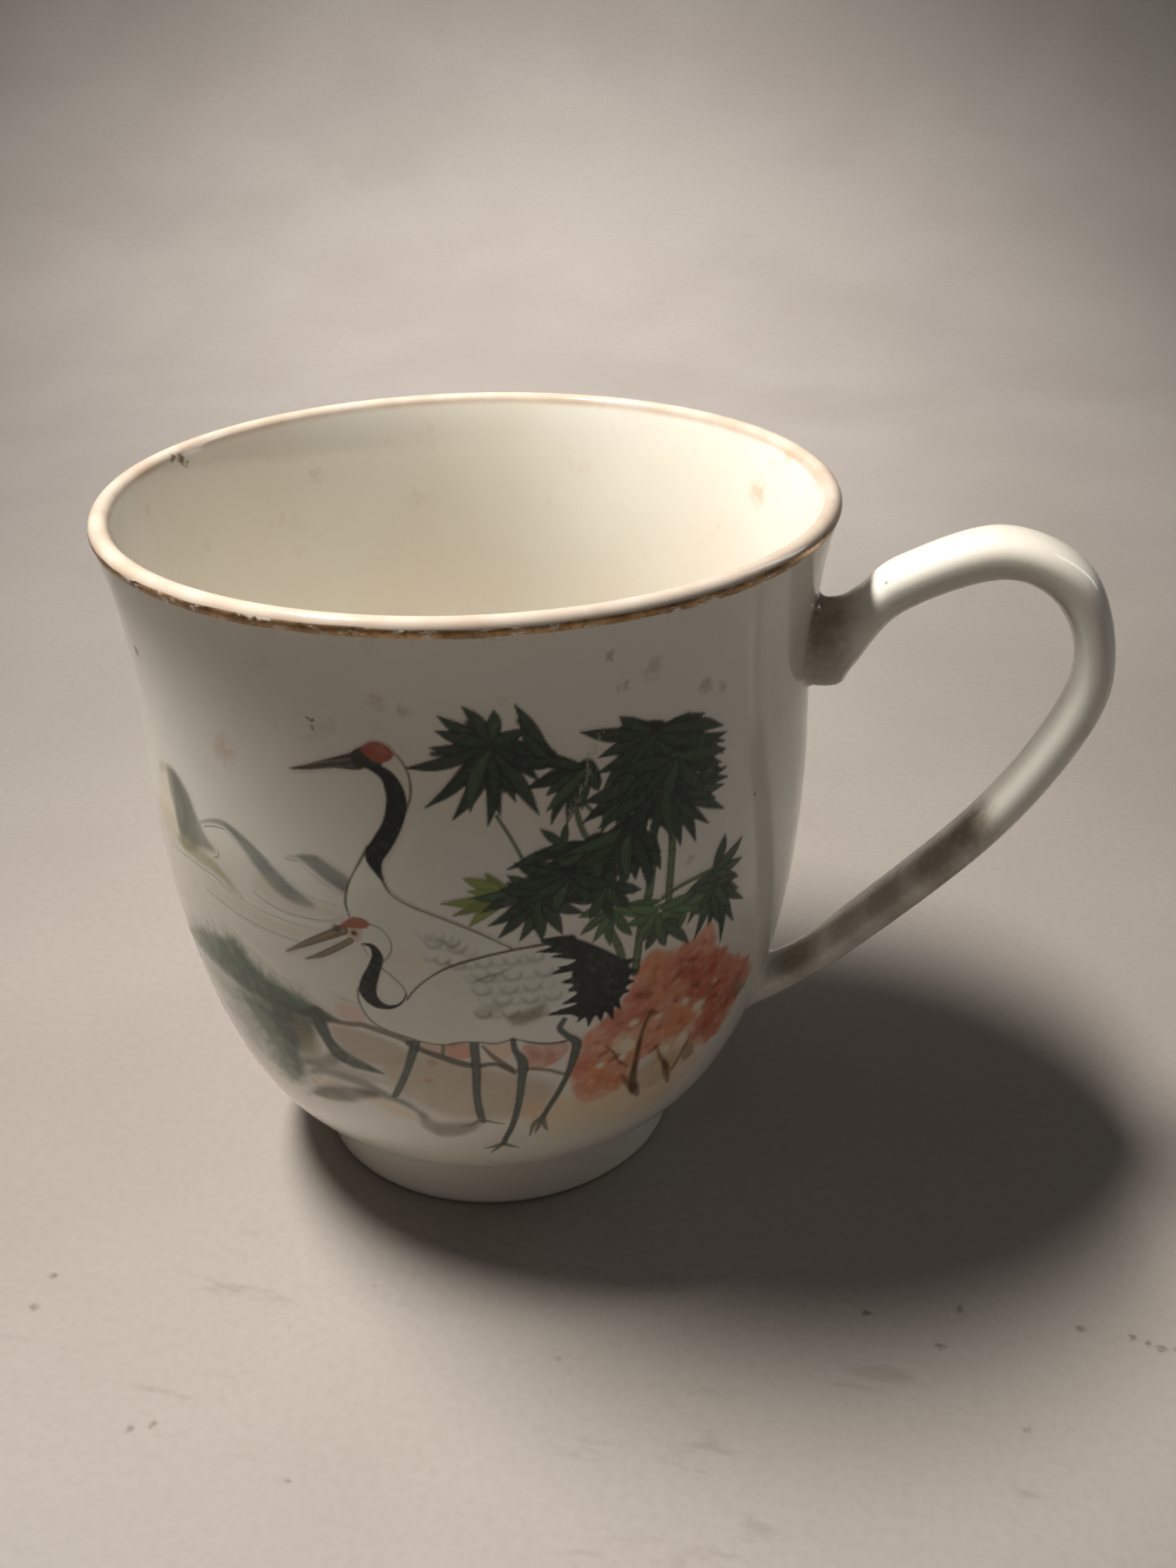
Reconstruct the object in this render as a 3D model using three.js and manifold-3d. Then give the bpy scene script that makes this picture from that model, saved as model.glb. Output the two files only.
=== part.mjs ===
// A porcelain teacup: a thin jiggered bowl with a flared lip, a luted foot ring, and a slip-cast
// ear-shaped handle joined on with two pads of slip. A fired gilt line runs under the lip, and
// six enamel transfers (two cranes, bamboo, azalea, hills and a pine bank) lie on the front wall.
// Millimetres, +Z up, handle along +X, picture facing -Y, standing on z = 0.

import * as THREE from "three";
import { mergeVertices } from "three/addons/utils/BufferGeometryUtils.js";
import Module from "manifold-3d";

const wasm = await Module();
wasm.setup();

// Driving dimensions
const RIM_RADIUS = 43;
const CUP_HEIGHT = 88.5;
const LIP_RADIUS = 1.15;
const BELLY_RADIUS = 40.5;
const BELLY_HEIGHT = 58;
const BOWL_LOWEST = 9;
const BOWL_START = 9.8;
const SWEEP_RISE = 1.2;
const SWEEP_INSET = 0.05;
const WALL_AT_BELLY = 2.6;
const FOOT_RADIUS = 24;
const FOOT_HEIGHT = 7;
const FOOT_RING_THICKNESS = 3.6;
const BASE_THICKNESS = 3;
const FLARE_ANGLE = THREE.MathUtils.degToRad(18);
const GILT_WIDTH = 1;
const GILT_THICKNESS = 0.08;
const PRINT_THICKNESS = 0.12;
const SKIN_GAP = 0.03;
const SLIP_THICKNESS = 1;
const SLIP_OVERSIZE = 0.7;
const JOINT_GAP = 0.3;
const LATHE_SEGMENTS = 64;

// ---------------------------------------------------------------- solids and booleans

function lathe(profile) {
  return new THREE.LatheGeometry(profile, LATHE_SEGMENTS).rotateX(Math.PI / 2);
}

function toSolid(geometry) {
  const bare = geometry.clone();
  bare.deleteAttribute("normal");
  bare.deleteAttribute("uv");
  const merged = mergeVertices(bare, 1e-4);
  const corners = merged.index.array;
  const triVerts = [];
  for (let i = 0; i < corners.length; i += 3) {
    const [a, b, c] = [corners[i], corners[i + 1], corners[i + 2]];
    if (a !== b && b !== c && c !== a) triVerts.push(a, b, c);
  }
  const vertProperties = new Float32Array(merged.attributes.position.array);
  return new wasm.Manifold(new wasm.Mesh({ numProp: 3, vertProperties, triVerts: new Uint32Array(triVerts) }));
}

function toGeometry(solid) {
  const mesh = solid.getMesh();
  const geometry = new THREE.BufferGeometry();
  geometry.setAttribute("position", new THREE.Float32BufferAttribute(mesh.vertProperties, 3));
  geometry.setIndex(Array.from(mesh.triVerts));
  geometry.computeVertexNormals();
  return geometry;
}

// ---------------------------------------------------------------- profiles (x = radius, y = height)

const lipCentre = new THREE.Vector2(RIM_RADIUS - LIP_RADIUS, CUP_HEIGHT - LIP_RADIUS);

function lipPoint(angle) {
  return new THREE.Vector2(Math.cos(angle), Math.sin(angle)).multiplyScalar(LIP_RADIUS).add(lipCentre);
}

// The outside from the foot joint to the start of the lip: a concave sweep out of the foot, a
// quarter ellipse up to the belly, then a long curve that narrows a little and flares to the lip.
function outerWall() {
  const bowlCentre = FOOT_RADIUS + 0.5;
  const bowlDepth = BELLY_HEIGHT - BOWL_LOWEST;
  const bowlDrop = BELLY_HEIGHT - BOWL_START;
  const bowl = new THREE.EllipseCurve(
    bowlCentre, BELLY_HEIGHT, BELLY_RADIUS - bowlCentre, bowlDepth, -Math.asin(bowlDrop / bowlDepth), 0,
  ).getPoints(11);
  const sweep = new THREE.QuadraticBezierCurve(
    new THREE.Vector2(bowlCentre - SWEEP_INSET, FOOT_HEIGHT),
    new THREE.Vector2(bowlCentre, FOOT_HEIGHT + SWEEP_RISE),
    bowl[0],
  ).getPoints(3);
  const flare = new THREE.CubicBezierCurve(
    bowl.at(-1),
    new THREE.Vector2(BELLY_RADIUS - 0.5, BELLY_HEIGHT + 14),
    new THREE.Vector2(BELLY_RADIUS + 0.5, BELLY_HEIGHT + 23),
    lipPoint(-FLARE_ANGLE),
  ).getPoints(6);
  return [...sweep.slice(0, -1), ...bowl.slice(0, -1), ...flare];
}

function lipArc(from, to, count) {
  return Array.from({ length: count + 1 }, (_, i) => lipPoint(THREE.MathUtils.lerp(from, to, i / count)));
}

// The inside from the lip down to the middle of the floor.
function innerWall() {
  const radius = BELLY_RADIUS - WALL_AT_BELLY;
  const floor = FOOT_HEIGHT + BASE_THICKNESS;
  const floorRadius = FOOT_RADIUS - 4;
  const flare = new THREE.CubicBezierCurve(
    lipPoint(Math.PI - FLARE_ANGLE),
    new THREE.Vector2(radius + 1, BELLY_HEIGHT + 24),
    new THREE.Vector2(radius - 0.3, BELLY_HEIGHT + 14),
    new THREE.Vector2(radius, BELLY_HEIGHT),
  ).getPoints(4);
  const bowl = new THREE.EllipseCurve(
    floorRadius, BELLY_HEIGHT, radius - floorRadius, BELLY_HEIGHT - floor, 0, -Math.PI / 2, true,
  ).getPoints(8);
  return [...flare.slice(1), ...bowl.slice(1), new THREE.Vector2(0, floor)];
}

// The part of a rising profile between two heights, with its ends cut exactly there.
function between(profile, low, high) {
  const cut = [];
  for (let i = 1; i < profile.length; i++) {
    const [a, b] = [profile[i - 1], profile[i]];
    const at = (height) => a.clone().lerp(b, (height - a.y) / (b.y - a.y));
    if (a.y <= low && low < b.y) cut.push(at(low));
    if (a.y > low && a.y < high) cut.push(a);
    if (a.y < high && high <= b.y) cut.push(at(high));
  }
  return cut;
}

// A rising profile moved outwards by a distance, along its own normals.
function offset(profile, distance) {
  return profile.map((point, i) => {
    const before = profile[Math.max(i - 1, 0)];
    const after = profile[Math.min(i + 1, profile.length - 1)];
    const along = after.clone().sub(before).normalize();
    return new THREE.Vector2(point.x + along.y * distance, point.y - along.x * distance);
  });
}

// A closed ring that covers a rising profile, from one distance off it to another.
function skin(profile, near, far) {
  const outer = offset(profile, far);
  return lathe([...outer, ...offset(profile, near).reverse(), outer[0]]);
}

// ---------------------------------------------------------------- bowl and foot

const outside = outerWall();

function cupBody() {
  return lathe([
    new THREE.Vector2(0, FOOT_HEIGHT),
    ...outside,
    ...lipArc(-FLARE_ANGLE, Math.PI - FLARE_ANGLE, 5).slice(1),
    ...innerWall(),
  ]);
}

function footRing() {
  const top = FOOT_HEIGHT - SKIN_GAP;
  const inner = FOOT_RADIUS - FOOT_RING_THICKNESS;
  const edge = 0.8;
  const profile = [
    new THREE.Vector2(inner + edge, 0),
    new THREE.Vector2(FOOT_RADIUS - edge, 0),
    new THREE.Vector2(FOOT_RADIUS - edge * 0.3, edge * 0.3),
    new THREE.Vector2(FOOT_RADIUS, edge),
    new THREE.Vector2(FOOT_RADIUS + 0.45, top),
    new THREE.Vector2(inner - 0.6, top),
    new THREE.Vector2(inner, edge),
  ];
  return lathe([...profile, profile[0]]);
}

// ---------------------------------------------------------------- gilding and transfers

function giltRimLine() {
  const low = CUP_HEIGHT - LIP_RADIUS - 0.7;
  const edge = [...outside, ...lipArc(-FLARE_ANGLE, FLARE_ANGLE, 2).slice(1)];
  return skin(between(edge, low, low + GILT_WIDTH), SKIN_GAP, SKIN_GAP + GILT_THICKNESS);
}

// Outlines of the transfers: degrees round the wall from the front (-Y) towards the handle, and
// height. Neighbours keep a narrow gap.
const TRANSFERS = {
  print_rear_crane: [
    [-14, 69.8], [0.2, 69.8], [-1.2, 66], [-6.8, 59], [-6.4, 54.9], [1.8, 54.9], [4.6, 50.6],
    [20.6, 51], [20.6, 53.8], [12, 57.2], [5.6, 60.6], [8.6, 66], [8.2, 73], [3.5, 76], [-3, 75.8],
    [-14, 72.4],
  ],
  print_front_crane: [
    [-18.5, 44.8], [-5.2, 44.8], [-3.4, 38.8], [2, 35.8], [9.6, 35.8], [9.4, 24], [12, 17],
    [27, 17], [29.4, 24], [29.6, 35.4], [36, 37.6], [41.8, 42], [41.8, 47.4], [31, 49.9],
    [20.6, 50.1], [4.2, 49.8], [1.4, 54.2], [-6.8, 54.2], [-18.5, 48.4],
  ],
  print_bamboo: [
    [13.4, 57.6], [21.4, 54.4], [21.4, 51], [31, 50.8], [42.8, 48.2], [43, 46.4], [58, 46.4],
    [62.5, 50], [62, 59], [59, 62], [59, 75], [52, 79], [36, 79], [32, 74], [27, 80], [14, 80],
    [9.4, 77], [9.4, 66], [18, 64],
  ],
  print_azalea: [
    [30.4, 24], [44, 18.5], [56, 18.5], [70, 22], [76, 30], [70, 41], [60, 45.5], [42.6, 45.5],
    [42.6, 41.6], [36.6, 36.8], [30.4, 34.8],
  ],
  print_hills: [
    [-56, 44.2], [-30, 43], [-19.3, 44.4], [-19.3, 49], [-7.6, 54.8], [-7.8, 62], [-20, 60.5],
    [-30, 63], [-38, 61], [-45, 66], [-56, 63],
  ],
  print_pine_bank: [
    [-56, 32], [-40, 21], [-10, 16], [11.2, 16.8], [8.6, 24], [8.8, 35], [1.8, 35], [-4.2, 38.2],
    [-6, 44], [-18.8, 44], [-30, 42.4], [-56, 43.6],
  ],
};

// A wedge that stands out from the axis through an outline on the wall.
function radialPrism(outline) {
  const inner = 12;
  const shape = new THREE.Shape(outline.map(([angle, height]) => new THREE.Vector2(angle, height)));
  const prism = new THREE.ExtrudeGeometry(shape, { depth: 60, steps: 20, bevelEnabled: false });
  const position = prism.attributes.position;
  for (let i = 0; i < position.count; i++) {
    const angle = THREE.MathUtils.degToRad(position.getX(i) - 90);
    const radius = inner + position.getZ(i);
    position.setXYZ(i, radius * Math.cos(angle), radius * Math.sin(angle), position.getY(i));
  }
  return toSolid(prism);
}

function transfer(outline) {
  const heights = outline.map(([, height]) => height);
  const band = between(outside, Math.min(...heights) - 1, Math.max(...heights) + 1);
  const sheet = toSolid(skin(band, SKIN_GAP, SKIN_GAP + PRINT_THICKNESS));
  return toGeometry(sheet.intersect(radialPrism(outline)));
}

// ---------------------------------------------------------------- handle

// Stations along the handle, from the upper root over the arch to the lower root: radius and height
// of the outer edge, radius and height of the inner edge, and the width across.
const HANDLE_STATIONS = [
  [[37.5, 77.2], [37.5, 66.8], 8.8],
  [[42.5, 76.9], [43.6, 66.9], 8.8],
  [[45.4, 78.5], [45.6, 69.6], 8.7],
  [[49.6, 82.2], [50.6, 76.5], 8.6],
  [[60.6, 86.4], [60.8, 81.1], 8.6],
  [[70.4, 82.5], [66.9, 78.8], 8.6],
  [[74.2, 72.5], [69.7, 72.3], 8.5],
  [[72.4, 62.9], [68.2, 64.5], 8.3],
  [[63.8, 48.4], [60.3, 51.1], 7.9],
  [[49.1, 32], [46.1, 35], 7.5],
  [[40.4, 24.2], [39.9, 28.6], 7.3],
  [[32.5, 18.5], [32.5, 24.5], 7.6],
];
const HANDLE_STEPS = 28;
const SECTION_SIDES = 12;
const SECTION_SQUARENESS = 2.5;

// A rounded-rectangle section as offsets across the handle, from -1 to 1 in each direction.
function sectionPoint(angle) {
  const round = (value) => Math.sign(value) * Math.abs(value) ** (2 / SECTION_SQUARENESS);
  return [round(Math.cos(angle)), round(Math.sin(angle))];
}

// The handle's solid, grown by a margin all round its section.
function handleLoft(margin) {
  const curve = (pick) => new THREE.CatmullRomCurve3(
    HANDLE_STATIONS.map(pick).map(([x, z, y = 0]) => new THREE.Vector3(x, y, z)), false, "centripetal",
  );
  const outerEdge = curve(([outer, , width]) => [...outer, width / 2]);
  const innerEdge = curve(([, inner]) => inner);
  const positions = [];
  const index = [];
  for (let step = 0; step <= HANDLE_STEPS; step++) {
    const outer = outerEdge.getPoint(step / HANDLE_STEPS);
    const inner = innerEdge.getPoint(step / HANDLE_STEPS);
    const halfWidth = outer.y + margin;
    outer.y = 0;
    const centre = outer.clone().add(inner).multiplyScalar(0.5);
    const across = outer.clone().sub(centre);
    across.setLength(across.length() + margin);
    for (let side = 0; side < SECTION_SIDES; side++) {
      const [u, v] = sectionPoint((2 * Math.PI * side) / SECTION_SIDES);
      positions.push(centre.x + across.x * u, halfWidth * v, centre.z + across.z * u);
    }
  }
  for (let step = 0; step < HANDLE_STEPS; step++) {
    for (let side = 0; side < SECTION_SIDES; side++) {
      const next = (side + 1) % SECTION_SIDES;
      const a = step * SECTION_SIDES + side;
      const b = step * SECTION_SIDES + next;
      index.push(a, b + SECTION_SIDES, b, a, a + SECTION_SIDES, b + SECTION_SIDES);
    }
  }
  const last = HANDLE_STEPS * SECTION_SIDES;
  for (let side = 1; side < SECTION_SIDES - 1; side++) {
    index.push(0, side, side + 1, last, last + side + 1, last + side);
  }
  const geometry = new THREE.BufferGeometry();
  geometry.setAttribute("position", new THREE.Float32BufferAttribute(positions, 3));
  geometry.setIndex(index);
  return toSolid(geometry);
}

// Everything inside the cup's outer surface, grown by a distance.
function cupEnvelope(distance) {
  const side = offset(outside, distance);
  return toSolid(lathe([
    new THREE.Vector2(0, FOOT_HEIGHT),
    ...side,
    new THREE.Vector2(0, side.at(-1).y),
  ]));
}

function handle() {
  const cut = cupEnvelope(SLIP_THICKNESS + 2 * JOINT_GAP);
  return toGeometry(handleLoft(0).subtract(cut));
}

// A pad of slip between the wall and one end of the handle, a little wider than the handle.
function handleSlip(low, high) {
  const pad = toSolid(skin(between(outside, low, high), JOINT_GAP, JOINT_GAP + SLIP_THICKNESS));
  const solids = handleLoft(SLIP_OVERSIZE).intersect(pad).decompose();
  return toGeometry(solids.reduce((a, b) => (a.volume() > b.volume() ? a : b)));
}

// ---------------------------------------------------------------- assembly

const glaze = { color: 0xece7dc, roughness: 0.12, metalness: 0 };
const enamel = (color) => ({ color, roughness: 0.2, metalness: 0 });

const PIECES = {
  cup_body: [cupBody(), glaze],
  foot_ring: [footRing(), glaze],
  handle: [handle(), glaze],
  upper_handle_slip: [handleSlip(60, 84), glaze],
  lower_handle_slip: [handleSlip(12, 36), glaze],
  gilt_rim_line: [giltRimLine(), { color: 0xa8762f, roughness: 0.3, metalness: 0.9 }],
  print_rear_crane: [transfer(TRANSFERS.print_rear_crane), enamel(0x6d7276)],
  print_front_crane: [transfer(TRANSFERS.print_front_crane), enamel(0x8f9091)],
  print_bamboo: [transfer(TRANSFERS.print_bamboo), enamel(0x2d5a3c)],
  print_azalea: [transfer(TRANSFERS.print_azalea), enamel(0xd0705c)],
  print_hills: [transfer(TRANSFERS.print_hills), enamel(0xa9adb0)],
  print_pine_bank: [transfer(TRANSFERS.print_pine_bank), enamel(0x6f8f7c)],
};

const cup = new THREE.Group();
for (const [name, [geometry, finish]] of Object.entries(PIECES)) {
  const mesh = new THREE.Mesh(geometry, new THREE.MeshStandardMaterial(finish));
  mesh.name = name;
  cup.add(mesh);
}

// The origin is under the middle of the bounding box, handle included.
const extent = new THREE.Box3().setFromObject(cup);
cup.position.x = -(extent.min.x + extent.max.x) / 2;
cup.updateMatrixWorld(true);

export default cup;
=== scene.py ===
"""Looks of a porcelain teacup: glazed clay, a gilt line and overglaze enamel cranes among bamboo.

Lengths are in millimetres until a mesh is made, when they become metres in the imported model's frame.
The decoration is painted on the unrolled wall: u runs round the cup to the right of its front, measured
as arc length at the belly, and v is the height.
"""

import math

import bpy
import numpy as np
from mathutils import Matrix, Vector


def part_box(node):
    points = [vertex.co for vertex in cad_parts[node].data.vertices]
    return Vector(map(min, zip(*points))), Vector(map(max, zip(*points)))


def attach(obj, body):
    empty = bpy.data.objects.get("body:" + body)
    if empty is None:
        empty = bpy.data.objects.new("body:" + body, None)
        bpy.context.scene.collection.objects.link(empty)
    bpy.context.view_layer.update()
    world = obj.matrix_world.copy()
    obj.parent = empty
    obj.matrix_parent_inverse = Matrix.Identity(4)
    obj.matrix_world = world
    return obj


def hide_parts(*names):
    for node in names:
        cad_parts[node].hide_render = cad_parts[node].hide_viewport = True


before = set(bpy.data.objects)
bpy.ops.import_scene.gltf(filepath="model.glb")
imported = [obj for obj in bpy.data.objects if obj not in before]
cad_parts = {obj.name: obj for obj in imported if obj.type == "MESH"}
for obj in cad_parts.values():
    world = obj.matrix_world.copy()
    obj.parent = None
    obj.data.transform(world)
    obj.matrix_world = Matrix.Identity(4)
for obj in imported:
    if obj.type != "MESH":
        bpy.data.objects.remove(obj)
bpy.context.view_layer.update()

MM = 0.001


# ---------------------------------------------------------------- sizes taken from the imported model

cup_low, cup_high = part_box("cup_body")
AXIS = Vector(((cup_low.x + cup_high.x) / 2, (cup_low.y + cup_high.y) / 2, 0))
RIM_RADIUS = (cup_high.y - cup_low.y) / 2 / MM
CUP_HEIGHT = cup_high.z / MM
FOOT_HEIGHT = cup_low.z / MM
FOOT_RADIUS = (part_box("foot_ring")[1].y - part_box("foot_ring")[0].y) / 2 / MM
GILT_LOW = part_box("gilt_rim_line")[0].z / MM
GILT_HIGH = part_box("gilt_rim_line")[1].z / MM

LIP_RADIUS = 1.15
LIP_CENTRE = (RIM_RADIUS - LIP_RADIUS, CUP_HEIGHT - LIP_RADIUS)
BELLY_RADIUS = 40.5
BELLY_HEIGHT = 58.0
BELLY_DEPTH = 49.0
BELLY_BULGE = 16.0
TURN_RADIUS = 27.4
TURN_HEIGHT = 9.8
INSIDE_RADIUS = 37.9
FLOOR_RADIUS = 20.0
FLOOR_HEIGHT = 10.0
UNDERSIDE_RING = 12.0
LIP_TILT = 18.0


# ---------------------------------------------------------------- curves

def bezier(controls, steps):
    """Points of a Bezier curve of any degree."""
    t = np.linspace(0, 1, steps + 1)[:, None]
    level = [np.array(c, float)[None, :] for c in controls]
    while len(level) > 1:
        level = [a * (1 - t) + b * t for a, b in zip(level, level[1:])]
    return level[0]


def ellipse(centre, radii, start, end, steps):
    """Points of an elliptical arc between two angles in degrees."""
    angle = np.radians(np.linspace(start, end, steps + 1))
    return np.stack([centre[0] + radii[0] * np.cos(angle), centre[1] + radii[1] * np.sin(angle)], 1)


def through(points, steps, closed=False):
    """A smooth curve through given points of any dimension, as a Catmull-Rom spline."""
    p = np.array(points, float)
    ends = (p[-1:], p[:2]) if closed else (2 * p[:1] - p[1:2], 2 * p[-1:] - p[-2:-1])
    p = np.concatenate([ends[0], p, ends[1]])
    t = np.linspace(0, 1, steps, endpoint=False)[:, None]
    spans = []
    for a, b, c, d in zip(p, p[1:], p[2:], p[3:]):
        spans.append(b + t / 2 * (c - a + t * (2 * a - 5 * b + 4 * c - d + t * (3 * (b - c) + d - a))))
    if not closed:
        spans.append(p[-2:-1])
    return np.concatenate(spans)


def smoothstep(x):
    """0 below 0, 1 above 1 and a soft ramp between."""
    x = np.clip(x, 0, 1)
    return x * x * (3 - 2 * x)


# ---------------------------------------------------------------- the cup's profile

def outer_profile(fine=1):
    """Outside of the wall from the foot to the top of the lip, as radius and height."""
    below = math.degrees(math.asin((TURN_HEIGHT - BELLY_HEIGHT) / BELLY_DEPTH))
    bulge = ((BELLY_RADIUS - BELLY_BULGE, BELLY_HEIGHT), (BELLY_BULGE, BELLY_DEPTH))
    turn = [(FOOT_RADIUS, FOOT_HEIGHT), (FOOT_RADIUS + 0.05, 8.2), (TURN_RADIUS, TURN_HEIGHT)]
    rise = ellipse(LIP_CENTRE, (LIP_RADIUS, LIP_RADIUS), -LIP_TILT, 90, 10 * fine)
    return np.concatenate([
        bezier(turn, 8 * fine)[:-1],
        ellipse(*bulge, below, 0, 44 * fine)[:-1],
        bezier([(BELLY_RADIUS, BELLY_HEIGHT), (40, 72), (41, 81), rise[0]], 28 * fine)[:-1],
        rise,
    ])


def inner_profile():
    """Inside of the wall from the top of the lip to the middle of the floor."""
    roll = ellipse(LIP_CENTRE, (LIP_RADIUS, LIP_RADIUS), 90, 180 - LIP_TILT, 8)
    bowl_depth = BELLY_HEIGHT - FLOOR_HEIGHT
    return np.concatenate([
        roll[1:-1],
        bezier([roll[-1], (38.9, 82), (37.6, 72), (INSIDE_RADIUS, BELLY_HEIGHT)], 22)[:-1],
        ellipse((FLOOR_RADIUS, BELLY_HEIGHT), (INSIDE_RADIUS - FLOOR_RADIUS, bowl_depth), 0, -90, 40),
        [(FLOOR_RADIUS / 2, FLOOR_HEIGHT), (0, FLOOR_HEIGHT)],
    ])


WALL = outer_profile(4)


def wall_radius(height):
    """Radius of the outside of the wall at a height."""
    return np.interp(height, WALL[:, 1], WALL[:, 0])


# ---------------------------------------------------------------- meshes

def from_foot(x, y, z):
    """The place in the model's frame, in metres, of a point in millimetres from the foot's middle."""
    return Vector((x, y, z)) * MM + AXIS


def make_mesh(name, points, faces, sharp=40):
    """A smooth-shaded object from points in millimetres round the cup's axis."""
    data = bpy.data.meshes.new(name)
    data.from_pydata((np.asarray(points) * MM + np.array(AXIS)).tolist(), [], faces)
    data.polygons.foreach_set("use_smooth", [True] * len(data.polygons))
    data.set_sharp_from_angle(angle=math.radians(sharp))
    data.update()
    piece = bpy.data.objects.new(name, data)
    bpy.context.scene.collection.objects.link(piece)
    return piece


def grid_faces(rows, columns, wrap_rows=False, wrap_columns=False):
    """Quads over a grid of points, whose last row or column may join its first."""
    faces = []
    for r in range(rows if wrap_rows else rows - 1):
        for c in range(columns if wrap_columns else columns - 1):
            r2, c2 = (r + 1) % rows, (c + 1) % columns
            faces.append((r * columns + c, r * columns + c2, r2 * columns + c2, r2 * columns + c))
    return faces


def turned(name, profile, segments=288, closed=False, wobble=None):
    """A body of revolution. An open profile runs from the axis to the axis, a closed one is a ring."""
    profile = np.asarray(profile, float)
    angle = np.linspace(0, 2 * math.pi, segments, endpoint=False)
    rim = profile if closed else profile[1:-1]
    r, a = np.meshgrid(rim[:, 0], angle, indexing="ij")
    z = np.repeat(rim[:, 1:2], segments, axis=1)
    if wobble is not None:
        r, z = wobble(r, z, a)
    points = np.stack([r * np.cos(a), r * np.sin(a), z], -1).reshape(-1, 3)
    faces = grid_faces(len(rim), segments, closed, True)
    if not closed:
        points = np.concatenate([points, [(0, 0, profile[0, 1]), (0, 0, profile[-1, 1])]])
        first, last = len(points) - 2, len(points) - 1
        top = (len(rim) - 1) * segments
        faces += [(first, (c + 1) % segments, c) for c in range(segments)]
        faces += [(last, top + c, top + (c + 1) % segments) for c in range(segments)]
    return make_mesh(name, points, faces)


def placed(piece, cad_node, material):
    """Rides a piece on the cup in the place of its CAD node, with its finish."""
    piece.data.materials.append(material)
    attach(piece, "root")
    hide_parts(cad_node)


# ---------------------------------------------------------------- material helpers

def new_material(name):
    """An empty node material with its Principled shader."""
    material = bpy.data.materials.new(name)
    material.use_nodes = True
    return material, material.node_tree, material.node_tree.nodes["Principled BSDF"]


def feed(tree, target, inputs):
    """Gives a node its inputs, as values or the sockets that feed them, by name or number."""
    for key, value in inputs.items():
        if isinstance(value, bpy.types.NodeSocket):
            tree.links.new(value, target.inputs[key])
        else:
            target.inputs[key].default_value = value


def node(tree, kind, inputs=None, **settings):
    """Adds a node with its settings and inputs."""
    made = tree.nodes.new("ShaderNode" + kind)
    for key, value in settings.items():
        setattr(made, key, value)
    feed(tree, made, inputs or {})
    return made


def math_node(tree, operation, a, b):
    """The result of a Math node."""
    return node(tree, "Math", {0: a, 1: b}, operation=operation).outputs[0]


def coordinate(tree, place, axis):
    """One coordinate of a place."""
    return node(tree, "SeparateXYZ", {0: place}).outputs[axis]


def mix(tree, share, a, b, blend="MIX"):
    """A blend of two colours by a share."""
    made = node(tree, "Mix", {"Factor": share}, data_type="RGBA", blend_type=blend)
    for key, value in ((6, a), (7, b)):
        feed(tree, made, {key: value if isinstance(value, bpy.types.NodeSocket) else (*value, 1)})
    return made.outputs[2]


def ramp(tree, value, low, high, to_low=0.0, to_high=1.0):
    """Maps a value between two limits on to two others, softly."""
    inputs = {"Value": value, "From Min": low, "From Max": high, "To Min": to_low, "To Max": to_high}
    return node(tree, "MapRange", inputs, interpolation_type="SMOOTHSTEP").outputs[0]


def noise(tree, place, size, detail, roughness=0.5):
    """Noise whose lumps are about size millimetres across."""
    inputs = {"Vector": place, "Scale": 1 / (size * MM), "Detail": detail, "Roughness": roughness}
    return node(tree, "TexNoise", inputs).outputs["Fac"]


def on_wall(u, v):
    """The place of a point of the unrolled wall in the model's frame, in metres."""
    angle = u / BELLY_RADIUS
    radius = float(wall_radius(v))
    return from_foot(radius * math.sin(angle), -radius * math.cos(angle), v)


# ---------------------------------------------------------------- glaze

GLAZE_IOR = 1.52
GLAZE_WARM = (0.718, 0.672, 0.600)
GLAZE_COOL = (0.737, 0.712, 0.652)
GLAZE_MOTTLE = (0.56, 0.49, 0.39)
SPECK_BROWN = (0.10, 0.06, 0.03)
GRIME_BROWN = (0.19, 0.125, 0.07)
TEA_TAN = (0.52, 0.39, 0.24)
WORN_LIP = (0.47, 0.34, 0.255)
# The handle's brown stands for grime and for painted shade at its roots and along its lower strap.
HANDLE_GRIME_AND_SHADE = (0.17, 0.118, 0.058)
CLAY_DARK = (0.55, 0.47, 0.36)
CLAY_PALE = (0.68, 0.62, 0.52)

# Heights where the tea stains begin and are full, and where the lip begins to be rubbed and is bare.
STAIN_LOW, STAIN_FULL = 62.0, 76.0
RUBBED_LOW, RUBBED_FULL = CUP_HEIGHT - 1.6, CUP_HEIGHT - 0.8
# Heights under which the clay of the foot is bare, wholly and in part.
BARE_FULL, BARE_TOP = 0.6, 1.2

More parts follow.
